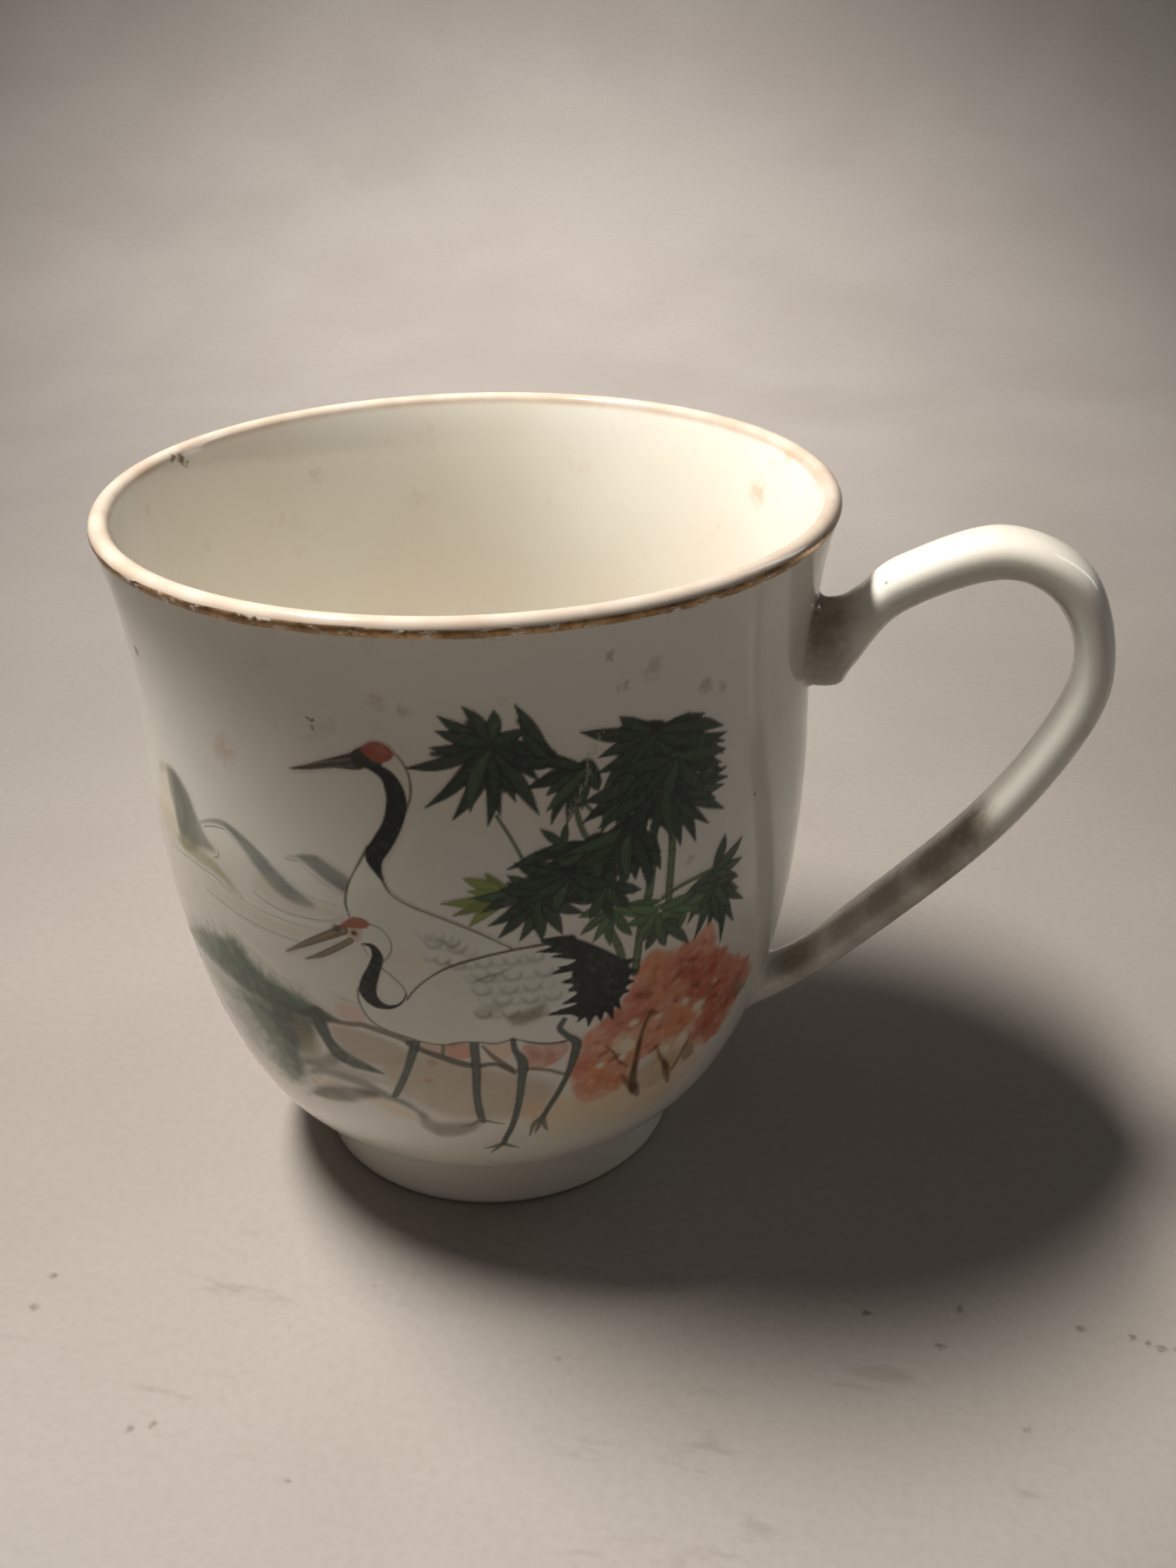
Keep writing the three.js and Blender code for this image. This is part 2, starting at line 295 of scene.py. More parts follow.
# Marks on a surface: place in the model's frame, radius in millimetres, colour and strength.
WALL_MARKS = [
    (on_wall(2.3, 79.2), 1.3, TEA_TAN, 0.65),
    (on_wall(4.9, 78.6), 1.1, GRIME_BROWN, 0.38),
    (on_wall(-4.7, 76.7), 0.6, SPECK_BROWN, 0.80),
    (on_wall(-4.8, 75.8), 0.5, SPECK_BROWN, 0.80),
    (on_wall(-33.0, 76.8), 1.0, SPECK_BROWN, 0.70),
    (on_wall(26.4, 79.2), 0.7, GRIME_BROWN, 0.40),
    (on_wall(24.6, 83.0), 0.8, GRIME_BROWN, 0.40),
    (on_wall(29.5, 80.5), 1.6, GRIME_BROWN, 0.30),
    (on_wall(36.2, 76.4), 1.4, GRIME_BROWN, 0.40),
    (on_wall(38.6, 75.8), 1.2, GRIME_BROWN, 0.34),
    (on_wall(34.8, 56.4), 0.8, GRIME_BROWN, 0.40),
    (on_wall(-17.0, 70.5), 2.6, TEA_TAN, 0.40),
    (from_foot(-40.3, 6.0, 87.6), 1.0, SPECK_BROWN, 0.90),
    (from_foot(-40.0, 7.4, 87.0), 0.9, SPECK_BROWN, 0.85),
    (from_foot(-39.8, 8.4, 86.4), 0.6, GRIME_BROWN, 0.80),
    (from_foot(30.9, 24.2, 81.4), 2.6, TEA_TAN, 0.55),
    (from_foot(35.0, 20.6, 87.1), 1.8, TEA_TAN, 0.55),
]
FLOOR_MARKS = [
    (from_foot(x, y, 0), radius, SPECK_BROWN, strength)
    for x, y, radius, strength in [
        (53.7, -32.0, 0.8, 0.75), (64.3, -29.1, 0.7, 0.60), (62.3, -35.2, 0.9, 0.60),
        (78.1, -29.4, 0.8, 0.65), (84.0, -29.6, 0.7, 0.60), (85.6, -30.0, 0.7, 0.70),
        (87.2, -30.4, 0.7, 0.65), (88.8, -30.3, 0.6, 0.60), (-44.3, -46.1, 0.8, 0.60),
        (-43.8, -51.1, 0.9, 0.55), (19.5, -46.0, 0.6, 0.45), (-4.7, -40.1, 0.6, 0.45),
        (-24.2, -65.0, 0.8, 0.50), (-22.0, -64.0, 0.7, 0.50), (-4.8, -67.7, 0.7, 0.50),
        (71.8, -44.9, 0.7, 0.45),
    ]
]
# The handle's marks are brown grime and painted shade together. They darken both roots and the top of the
# lower strap, where the cup's shade falls.
HANDLE_MARKS_AND_SHADE = [
    (from_foot(60.0, -2.5, 50.6), 5.2, HANDLE_GRIME_AND_SHADE, 0.70),
    (from_foot(56.4, -3.0, 45.8), 5.2, HANDLE_GRIME_AND_SHADE, 0.62),
    (from_foot(51.0, -3.0, 39.8), 4.8, HANDLE_GRIME_AND_SHADE, 0.48),
    (from_foot(46.6, -3.0, 35.4), 4.2, HANDLE_GRIME_AND_SHADE, 0.36),
    (from_foot(40.4, -1.6, 29.4), 5.2, HANDLE_GRIME_AND_SHADE, 0.70),
    (from_foot(41.6, -1.5, 76.6), 6.6, HANDLE_GRIME_AND_SHADE, 0.80),
    (from_foot(42.0, -4.4, 71.6), 4.8, HANDLE_GRIME_AND_SHADE, 0.55),
    (from_foot(72.6, -3.0, 64.0), 2.4, GRIME_BROWN, 0.20),
]


def blemished(tree, place, colour, marks, ragged=2.4, thinnest=0.0):
    """Adds ragged marks to a colour. They are patchy, down to a thinnest share of their strength."""
    warp = node(tree, "TexNoise", {"Vector": place, "Scale": 1 / (1.3 * MM), "Detail": 3.0}).outputs["Color"]
    shift = node(tree, "VectorMath", {0: warp, 1: (0.5, 0.5, 0.5)}, operation="SUBTRACT").outputs[0]
    shift = node(tree, "VectorMath", {0: shift, "Scale": ragged * MM}, operation="SCALE").outputs[0]
    warped = node(tree, "VectorMath", {0: place, 1: shift}, operation="ADD").outputs[0]
    patchy = ramp(tree, noise(tree, place, 0.9, 4, 0.6), 0.30, 0.55, thinnest, 1.0)
    for centre, radius, mark_colour, strength in marks:
        away = node(tree, "VectorMath", {0: warped, 1: centre}, operation="DISTANCE").outputs["Value"]
        share = ramp(tree, away, radius * MM, radius * MM * 0.25, 0, strength)
        colour = mix(tree, math_node(tree, "MULTIPLY", share, patchy), colour, mark_colour)
    return colour


def glaze_skin(tree, marks=(), thinnest=0.0):
    """Colour, roughness, normal and place of the white glaze, with its mottle, pinholes and marks."""
    place = node(tree, "TexCoord").outputs["Object"]
    broad = noise(tree, place, 26, 2)
    colour = mix(tree, ramp(tree, broad, 0.35, 0.65), GLAZE_WARM, GLAZE_COOL)
    fine = noise(tree, place, 0.9, 4, 0.6)
    colour = mix(tree, ramp(tree, fine, 0.55, 0.80, 0, 0.10), colour, GLAZE_MOTTLE)

    height = coordinate(tree, place, "Z")
    stain = ramp(tree, noise(tree, place, 5.5, 5, 0.6), 0.58, 0.74, 0, 0.24)
    stain = math_node(tree, "MULTIPLY", stain, ramp(tree, height, STAIN_LOW * MM, STAIN_FULL * MM))
    colour = mix(tree, stain, colour, TEA_TAN)
    lip = ramp(tree, height, RUBBED_LOW * MM, RUBBED_FULL * MM, 0, 0.75)
    rubbed = ramp(tree, noise(tree, place, 6, 3, 0.5), 0.30, 0.70, 0.62, 1.0)
    colour = mix(tree, math_node(tree, "MULTIPLY", lip, rubbed), colour, WORN_LIP)

    cells = node(tree, "TexVoronoi", {"Vector": place, "Scale": 1 / (7 * MM), "Randomness": 1.0})
    rare = ramp(tree, node(tree, "SeparateColor", {0: cells.outputs["Color"]}).outputs[0], 0.60, 0.62)
    pinhole = math_node(tree, "MULTIPLY", ramp(tree, cells.outputs["Distance"], 0.045, 0.02), rare)
    colour = mix(tree, math_node(tree, "MULTIPLY", pinhole, 0.55), colour, SPECK_BROWN)
    if marks:
        colour = blemished(tree, place, colour, marks, thinnest=thinnest)

    rough = ramp(tree, noise(tree, place, 6, 3), 0.3, 0.7, 0.07, 0.13)
    waves = noise(tree, place, 5, 2, 0.4)
    bump = node(tree, "Bump", {"Strength": 0.10, "Distance": 0.15 * MM, "Height": waves})
    return colour, rough, bump.outputs[0], place


def glaze_material(name, marks=(), thinnest=0.0, biscuit=False):
    """White porcelain glaze. The foot ring also has a bare rim of clay where it stands."""
    material, tree, shader = new_material(name)
    colour, rough, normal, place = glaze_skin(tree, marks, thinnest)
    if biscuit:
        uneven = math_node(tree, "MULTIPLY", noise(tree, place, 2, 2), 0.5 * MM)
        height = math_node(tree, "ADD", coordinate(tree, place, "Z"), uneven)
        bare = ramp(tree, height, BARE_TOP * MM, BARE_FULL * MM)
        clay = mix(tree, noise(tree, place, 0.5, 4), CLAY_DARK, CLAY_PALE)
        colour = mix(tree, bare, colour, clay)
        rough = math_node(tree, "ADD", rough, math_node(tree, "MULTIPLY", bare, 0.6))
    feed(tree, shader, {"Base Color": colour, "Roughness": rough, "Normal": normal, "IOR": GLAZE_IOR})
    return material


ENAMEL_SPECULAR = 0.34


def enamel_material(name, roughness):
    """Fired enamel: the glaze, tinted by the ink where there is cover."""
    material, tree, shader = new_material(name)
    colour, rough, normal, place = glaze_skin(tree)
    ink = node(tree, "Attribute", attribute_name="ink").outputs["Vector"]
    cover = node(tree, "Attribute", attribute_name="cover").outputs["Fac"]
    grain = noise(tree, place, 0.8, 3)
    tinted = mix(tree, 1.0, colour, ink, "MULTIPLY")
    shade = mix(tree, ramp(tree, grain, 0.45, 0.80, 0, 0.05), tinted, colour)
    painted = mix(tree, cover, colour, shade)
    gloss = node(tree, "Mix", {"Factor": cover, 2: rough, 3: roughness}, data_type="FLOAT").outputs[0]
    feed(tree, shader, {"Base Color": painted, "Roughness": gloss, "Normal": normal})
    feed(tree, shader, {"IOR": GLAZE_IOR, "Specular IOR Level": ENAMEL_SPECULAR})
    return material


GOLD_DARK = (0.30, 0.175, 0.085)
GOLD_PALE = (0.52, 0.34, 0.17)
GOLD_BROWNED = (0.12, 0.07, 0.04)
GOLD_ROUGHNESS = 0.32


def gilding_material():
    """Bright gold fired on the glaze, thin, browned and rubbed through in places."""
    material, tree, shader = new_material("gilding")
    colour, _, normal, place = glaze_skin(tree)
    tone = mix(tree, ramp(tree, noise(tree, place, 3, 4), 0.35, 0.65), GOLD_DARK, GOLD_PALE)
    tone = mix(tree, ramp(tree, noise(tree, place, 0.6, 3), 0.48, 0.72, 0, 0.7), tone, GOLD_BROWNED)
    streak = node(tree, "Mapping", {"Vector": place, "Scale": (1, 1, 3)}).outputs[0]
    worn = ramp(tree, noise(tree, streak, 2.4, 6, 0.7), 0.545, 0.60)
    bright = ramp(tree, noise(tree, place, 4, 2), 0.35, 0.65, 0.45, 0.85)
    metal = math_node(tree, "MULTIPLY", math_node(tree, "SUBTRACT", 1.0, worn), bright)
    feed(tree, shader, {"Base Color": mix(tree, worn, tone, colour), "Normal": normal})
    feed(tree, shader, {"Metallic": metal, "Roughness": GOLD_ROUGHNESS})
    return material


# ---------------------------------------------------------------- clay pieces

def make_cup():
    """The thrown wall and base, as one shell."""
    underside = [(0, FOOT_HEIGHT), (UNDERSIDE_RING, FOOT_HEIGHT)]
    return turned("cup_wall", np.concatenate([underside, outer_profile(), inner_profile()]))


def make_foot():
    """The ring that the cup stands on, with rounded standing edges."""
    outside = [(21.2, 0.12), (21.6, 0), (23.1, 0), (23.55, 0.1), (23.85, 0.4), (23.98, 0.9)]
    inside = [(19.8, FOOT_HEIGHT - 0.02), (20.1, 3.5), (20.4, 1.1), (20.7, 0.5)]
    rise = bezier([(24.0, 1.6), (24.2, 4), (FOOT_RADIUS, FOOT_HEIGHT - 0.01)], 8)
    return turned("foot_ring_glazed", np.concatenate([outside, rise, inside]), closed=True)


def make_gilt():
    """The gold line under the lip, a thin film with hand-drawn edges."""
    film, sunk = 0.03, 0.2
    keep = (WALL[:, 1] > GILT_LOW) & (WALL[:, 1] < GILT_HIGH) & (WALL[:, 0] > RIM_RADIUS - LIP_RADIUS)
    face = WALL[keep][::2]
    outside = face + np.array([film, 0])
    outside[0], outside[-1] = face[0], face[-1]
    inside = face[::-1] - np.array([sunk, 0])
    middle = (GILT_LOW + GILT_HIGH) / 2
    half = (GILT_HIGH - GILT_LOW) / 2

    def hand_drawn(r, z, a):
        sway = 0.06 * np.sin(3 * a + 1) + 0.04 * np.sin(11 * a) + 0.03 * np.sin(37 * a + 2)
        swell = 1 + 0.10 * np.sin(5 * a + 4) + 0.06 * np.sin(23 * a)
        z2 = middle + (z - middle) * swell + sway
        return r + wall_radius(z2) - wall_radius(z), np.clip(z2, middle - half * 1.3, middle + half * 1.2)

    section = np.concatenate([outside, inside])
    return turned("gilt_line", section, segments=512, closed=True, wobble=hand_drawn)


# The strap handle from its upper root round to its lower root: outer edge, inner edge and width.
HANDLE_STATIONS = [
    (37.5, 77.2, 37.5, 66.8, 8.8),
    (42.5, 76.9, 43.6, 66.9, 8.8),
    (45.4, 78.5, 45.6, 69.6, 8.7),
    (49.6, 82.2, 50.6, 76.5, 8.6),
    (60.6, 86.4, 60.8, 81.1, 8.6),
    (70.4, 82.5, 66.9, 78.8, 8.6),
    (74.2, 72.5, 69.7, 72.3, 8.5),
    (72.4, 62.9, 68.2, 64.5, 8.3),
    (63.8, 48.4, 60.3, 51.1, 7.9),
    (49.1, 32.0, 46.1, 35.0, 7.5),
    (40.4, 24.2, 39.9, 28.6, 7.3),
    (32.5, 18.5, 32.5, 24.5, 7.6),
]
# Steps from one station to the next, points round a section, and how square its corners are.
HANDLE_STEPS = 14
HANDLE_ROUND = 56
HANDLE_SQUARENESS = 2.5
# How far the ends go into the wall, and the sections near an end that its slip follows.
ROOT_DEPTH = 1.2
ROOT_SECTIONS = 60
CLIMB_SECTIONS = 20
FILLET_STEPS = 9


def handle_sections():
    """Cross-sections of the handle as a grid of points, one row for each step along it."""
    stations = through(HANDLE_STATIONS, HANDLE_STEPS)
    angle = np.linspace(0, 2 * math.pi, HANDLE_ROUND, endpoint=False)
    power = 2 / HANDLE_SQUARENESS
    across = np.sign(np.cos(angle)) * np.abs(np.cos(angle)) ** power
    side = np.sign(np.sin(angle)) * np.abs(np.sin(angle)) ** power
    outer, inner, width = stations[:, 0:2], stations[:, 2:4], stations[:, 4]
    middle = (outer + inner) / 2
    reach = (outer - inner) / 2
    plane = middle[:, None, :] + reach[:, None, :] * across[None, :, None]
    y = width[:, None] / 2 * side[None, :]
    return np.stack([plane[..., 0], y, plane[..., 1]], -1)


def make_handle(sections):
    """The strap, whose two ends go a little way into the wall."""
    points = sections.copy()
    radius = np.hypot(points[..., 0], points[..., 1])
    depth = wall_radius(points[..., 2]) - ROOT_DEPTH
    push = np.maximum(1.0, depth / radius)
    points[..., 0] *= push
    points[..., 1] *= push
    rows, columns = points.shape[:2]
    faces = grid_faces(rows, columns, wrap_columns=True)
    faces.append(tuple(reversed(range(columns))))
    faces.append(tuple((rows - 1) * columns + c for c in range(columns)))
    return make_mesh("handle_strap", points.reshape(-1, 3), [f[::-1] for f in faces])


def make_slip(name, sections, spread, climb):
    """A concave fillet of slip round a root. Sections start at the root, inside the wall.

    It spreads over the wall and climbs up the handle by the given lengths.
    """
    sunk, tuck, bury = 0.03, 0.012, 0.8
    radius = np.hypot(sections[..., 0], sections[..., 1])
    gap = radius - wall_radius(sections[..., 2])
    columns = sections.shape[1]
    loop = np.zeros((columns, 3))
    reached = np.zeros((columns, 3))
    for c in range(columns):
        line = sections[:, c]
        first = int(np.argmax(gap[:, c] > 0))
        share = gap[first - 1, c] / (gap[first - 1, c] - gap[first, c])
        loop[c] = line[first - 1] * (1 - share) + line[first] * share
        rest = np.concatenate([loop[c][None], line[first:first + CLIMB_SECTIONS]])
        along = np.concatenate([[0], np.cumsum(np.linalg.norm(np.diff(rest, axis=0), axis=1))])
        reached[c] = [np.interp(climb, along, rest[:, k]) for k in range(3)]
    centre = loop.mean(0)
    outward = loop - centre
    outward /= np.linalg.norm(outward, axis=1)[:, None]
    foot = loop + outward * spread
    foot_radius = np.hypot(foot[:, 0], foot[:, 1])
    onto = (wall_radius(foot[:, 2]) - sunk) / foot_radius
    foot[:, 0] *= onto
    foot[:, 1] *= onto
    reached = reached - (reached - reached.mean(0)) * tuck
    ring = [foot]
    for t in np.linspace(0, 1, FILLET_STEPS)[1:]:
        ring.append((1 - t) ** 2 * foot + 2 * t * (1 - t) * loop + t * t * reached)
    buried = loop - outward * bury
    buried[:, 0] -= bury
    ring.append(buried)
    points = np.stack(ring)
    faces = grid_faces(len(ring), columns, True, True)
    return make_mesh(name, points.reshape(-1, 3), faces, sharp=60)


# ---------------------------------------------------------------- enamel painting

# The painted part of the unrolled wall, and the pitch of its grid.
PRINT_LEFT, PRINT_RIGHT = -38.0, 54.0
PRINT_LOW, PRINT_HIGH = 14.5, 80.0
PRINT_PITCH = 0.16
# How far the film stands on the glaze, how soft a crisp edge is, and the cover that counts as inked.
ENAMEL_LIFT = 0.03
FINE_EDGE = 0.16
INKED = 0.03

# How many small strokes shade the rock of the bank, the azaleas and the tail.
HATCHES = 110
PETAL_EDGES = 190
TAIL_SHEENS = 26

# Enamel colours are given as they look on a ground that reflects this much of the light.
GROUND = 0.8
INK_BLACK = (0.020, 0.024, 0.026)
LINE_BROWN = (0.095, 0.080, 0.060)
LEG_GREY = (0.150, 0.190, 0.182)
CLAW_GREY = (0.16, 0.17, 0.145)
CROWN_RED = (0.40, 0.105, 0.070)
NEEDLE_PALE = (0.19, 0.26, 0.20)
NEEDLE_DARK = (0.13, 0.18, 0.14)
BODY_WHITE = (0.77, 0.815, 0.815)


class Enamel:
    """Colour, cover and owner of every point of the unrolled wall, painted by strokes and washes."""

    def __init__(self):
        self.u = np.arange(PRINT_LEFT, PRINT_RIGHT, PRINT_PITCH)
        self.v = np.arange(PRINT_LOW, PRINT_HIGH, PRINT_PITCH)
        self.at_u, self.at_v = np.meshgrid(self.u, self.v)
        self.colour = np.zeros(self.at_u.shape + (3,))
        self.cover = np.zeros(self.at_u.shape)
        self.owner = np.full(self.at_u.shape, -1)
        self.motif = 0
        self.mottles = {}

    def mottle(self, size, seed):
        """Soft random mottle between 0 and 1 with lumps of a size."""
        if (size, seed) not in self.mottles:
            rng = np.random.default_rng(seed)
            columns = int((PRINT_RIGHT - PRINT_LEFT) / size) + 3
            rows = int((PRINT_HIGH - PRINT_LOW) / size) + 3
            coarse = rng.random((rows, columns))
            x = (self.at_u - PRINT_LEFT) / size
            y = (self.at_v - PRINT_LOW) / size
            i, j = x.astype(int), y.astype(int)
            fx, fy = smoothstep(x - i), smoothstep(y - j)
            low = coarse[j, i] * (1 - fx) + coarse[j, i + 1] * fx
            high = coarse[j + 1, i] * (1 - fx) + coarse[j + 1, i + 1] * fx
            self.mottles[size, seed] = low * (1 - fy) + high * fy
        return self.mottles[size, seed]

    def window(self, points, margin):
        """The part of the grid round some points."""
        low, high = points.min(0) - margin, points.max(0) + margin
        columns = slice(*np.searchsorted(self.u, (low[0], high[0])))
        rows = slice(*np.searchsorted(self.v, (low[1], high[1])))
        return rows, columns

    def lay(self, where, alpha, colour):
        """Lays a colour over what is there."""
        alpha = np.clip(alpha, 0, 1)
        total = alpha + self.cover[where] * (1 - alpha)
        share = np.divide(alpha, total, out=np.zeros_like(total), where=total > 1e-6)[..., None]
        self.colour[where] = self.colour[where] * (1 - share) + np.asarray(colour) * share
        self.cover[where] = total
        taken = (alpha > 0.4) | ((alpha > INKED) & (self.owner[where] < 0))
        self.owner[where] = np.where(taken, self.motif, self.owner[where])

    def wipe(self, where, alpha):
        """Takes the colour off, as bare glaze that this motif keeps white."""
        self.cover[where] = self.cover[where] * (1 - alpha)
        self.owner[where] = np.where(alpha > 0.4, self.motif, self.owner[where])

    def segments(self, where, line, widths=None):
        """Distance from the grid to a line, less the line's half width."""
        x, y = self.at_u[where], self.at_v[where]
        best = np.full(x.shape, 1e9)
        for k in range(len(line) - 1):
            a, step = line[k], line[k + 1] - line[k]
            t = np.clip(((x - a[0]) * step[0] + (y - a[1]) * step[1]) / max(step @ step, 1e-9), 0, 1)
            away = np.hypot(x - a[0] - t * step[0], y - a[1] - t * step[1])
            if widths is not None:
                away = away - (widths[k] * (1 - t) + widths[k + 1] * t)
            best = np.minimum(best, away)
        return best

    def stroke(self, points, widths, colour, strength, soft, steps=5, grain=None):
        """A brush stroke through points, with a half width at each point or one for all."""
        widths = np.broadcast_to(np.asarray(widths, float), (len(points),))
        path = through(np.column_stack([points, widths]), steps)
        line, half = path[:, :2], path[:, 2]
        where = self.window(line, half.max() + soft)
        alpha = strength * smoothstep(0.5 - self.segments(where, line, half) / soft)
        if grain is not None:
            alpha = alpha * grain[where]
        self.lay(where, alpha, colour)

    def dash(self, foot, turn, reach, widths, colour, strength, soft):
        """A short straight stroke that leaves its foot at an angle."""
        tip = foot + reach * np.array([math.cos(turn), math.sin(turn)])
        self.stroke([foot, tip], widths, colour, strength, soft, 1)

    def inside(self, outline, soft, steps=5):
        """A window and how far inside a closed outline each of its points is, from 0 to 1."""
        line = through(outline, steps, closed=True)
        line = np.concatenate([line, line[:1]])
        where = self.window(line, soft)
        x, y = self.at_u[where], self.at_v[where]
        within = np.zeros(x.shape, bool)
        for a, b in zip(line, line[1:]):
            if a[1] != b[1]:
                crosses = (a[1] > y) != (b[1] > y)
                within ^= crosses & (x < (b[0] - a[0]) * (y - a[1]) / (b[1] - a[1]) + a[0])
        away = self.segments(where, line)
        return where, smoothstep(0.5 + np.where(within, away, -away) / soft)

    def wash(self, outline, colour, strength, soft, grain=None, steps=5):
        """A filled shape with a soft edge. Grain breaks up its strength."""
        where, alpha = self.inside(outline, soft, steps)
        alpha = alpha * strength
        if grain is not None:
            alpha = alpha * grain[where]
        self.lay(where, alpha, colour)

    def clear(self, outline):
        """Leaves a shape as bare white glaze."""
        where, alpha = self.inside(outline, FINE_EDGE)
        self.wipe(where, alpha)

    def blob(self, centre, radius, colour, strength, soft, squash=1.0, turn=0.0, grain=None):
        """A soft oval dab."""
        cos, sin = math.cos(turn), math.sin(turn)
        outline = []
        for k in range(8):
            a = k * math.pi / 4
            x, y = radius * math.cos(a), radius * squash * math.sin(a)
            outline.append((centre[0] + x * cos - y * sin, centre[1] + x * sin + y * cos))
        self.wash(outline, colour, strength, soft, grain, steps=3)


def paint_hills(e):
    """Three far hills in grey wash, the nearest with a yellow flank."""
    cloud = 0.65 + 0.5 * e.mottle(2.5, 1)
    e.wash([(-35.5, 54.5), (-34, 60), (-31.5, 63), (-28, 63.6), (-25.5, 60.5), (-24, 56.5), (-28, 54.2)],
           (0.74, 0.68, 0.50), 0.55, 2.2, cloud)
    e.wash([(-30, 63.8), (-27.5, 64), (-25.4, 62.6), (-24, 60.4), (-22.4, 58.2), (-21, 56.8), (-24, 56),
            (-26, 54.8), (-28.6, 54.4), (-29.2, 58), (-30.2, 61)], (0.25, 0.265, 0.235), 0.85, 1.2,
           cloud + 0.1)
    e.wash([(-29, 63.2), (-27.4, 63.4), (-26, 61), (-26, 58), (-27.4, 56), (-28.8, 57)], (0.14, 0.15, 0.14),
           0.65, 1.4)
    e.stroke([(-33, 62.4), (-31.6, 63.2), (-30, 63.6)], [0.3, 0.6, 0.5], (0.40, 0.36, 0.26), 0.45, 1.0)
    e.stroke([(-29.4, 54.8), (-26, 54.9), (-22.4, 54.8), (-19.8, 53.8), (-18.2, 52.6)],
             [0.5, 1.0, 0.9, 0.6, 0.2], (0.38, 0.36, 0.22), 0.65, 1.2)
    e.wash([(-18.6, 61), (-15.8, 60.2), (-12.4, 58.3), (-9.6, 56.2), (-7, 54.3), (-9.4, 54), (-12.4, 55.2),
            (-14.6, 57.4), (-16.6, 59.4)], (0.22, 0.265, 0.27), 0.85, 0.9, cloud + 0.1)
    e.stroke([(-23.2, 59.6), (-21, 60.6), (-18.6, 61), (-15.8, 60.2), (-12.4, 58.4)],
             [0.15, 0.25, 0.4, 0.35, 0.1], (0.24, 0.26, 0.245), 0.70, 0.5)
    e.wash([(-14, 57), (-11, 55.5), (-8, 54.6), (-4.5, 54.3), (-6, 53.4), (-11, 53.2), (-15, 54.5)],
           (0.60, 0.55, 0.46), 0.35, 1.6)
    e.wash([(-8.4, 60.1), (-6.2, 60.5), (-4.4, 59.7), (-2.4, 58.4), (-2.6, 56.6), (-4.6, 57.4), (-6.6, 58.7)],
           (0.20, 0.235, 0.24), 0.85, 0.9, cloud + 0.1)
    e.stroke([(-10, 59.7), (-8, 60.1), (-6.2, 60.4)], [0.05, 0.2, 0.25], (0.28, 0.29, 0.27), 0.6, 0.4)
    e.stroke([(-24, 51.6), (-18, 50.8), (-11, 50.2), (-6, 50.6)], [0.3, 0.6, 0.5, 0.2], (0.70, 0.60, 0.46),
             0.30, 1.6)


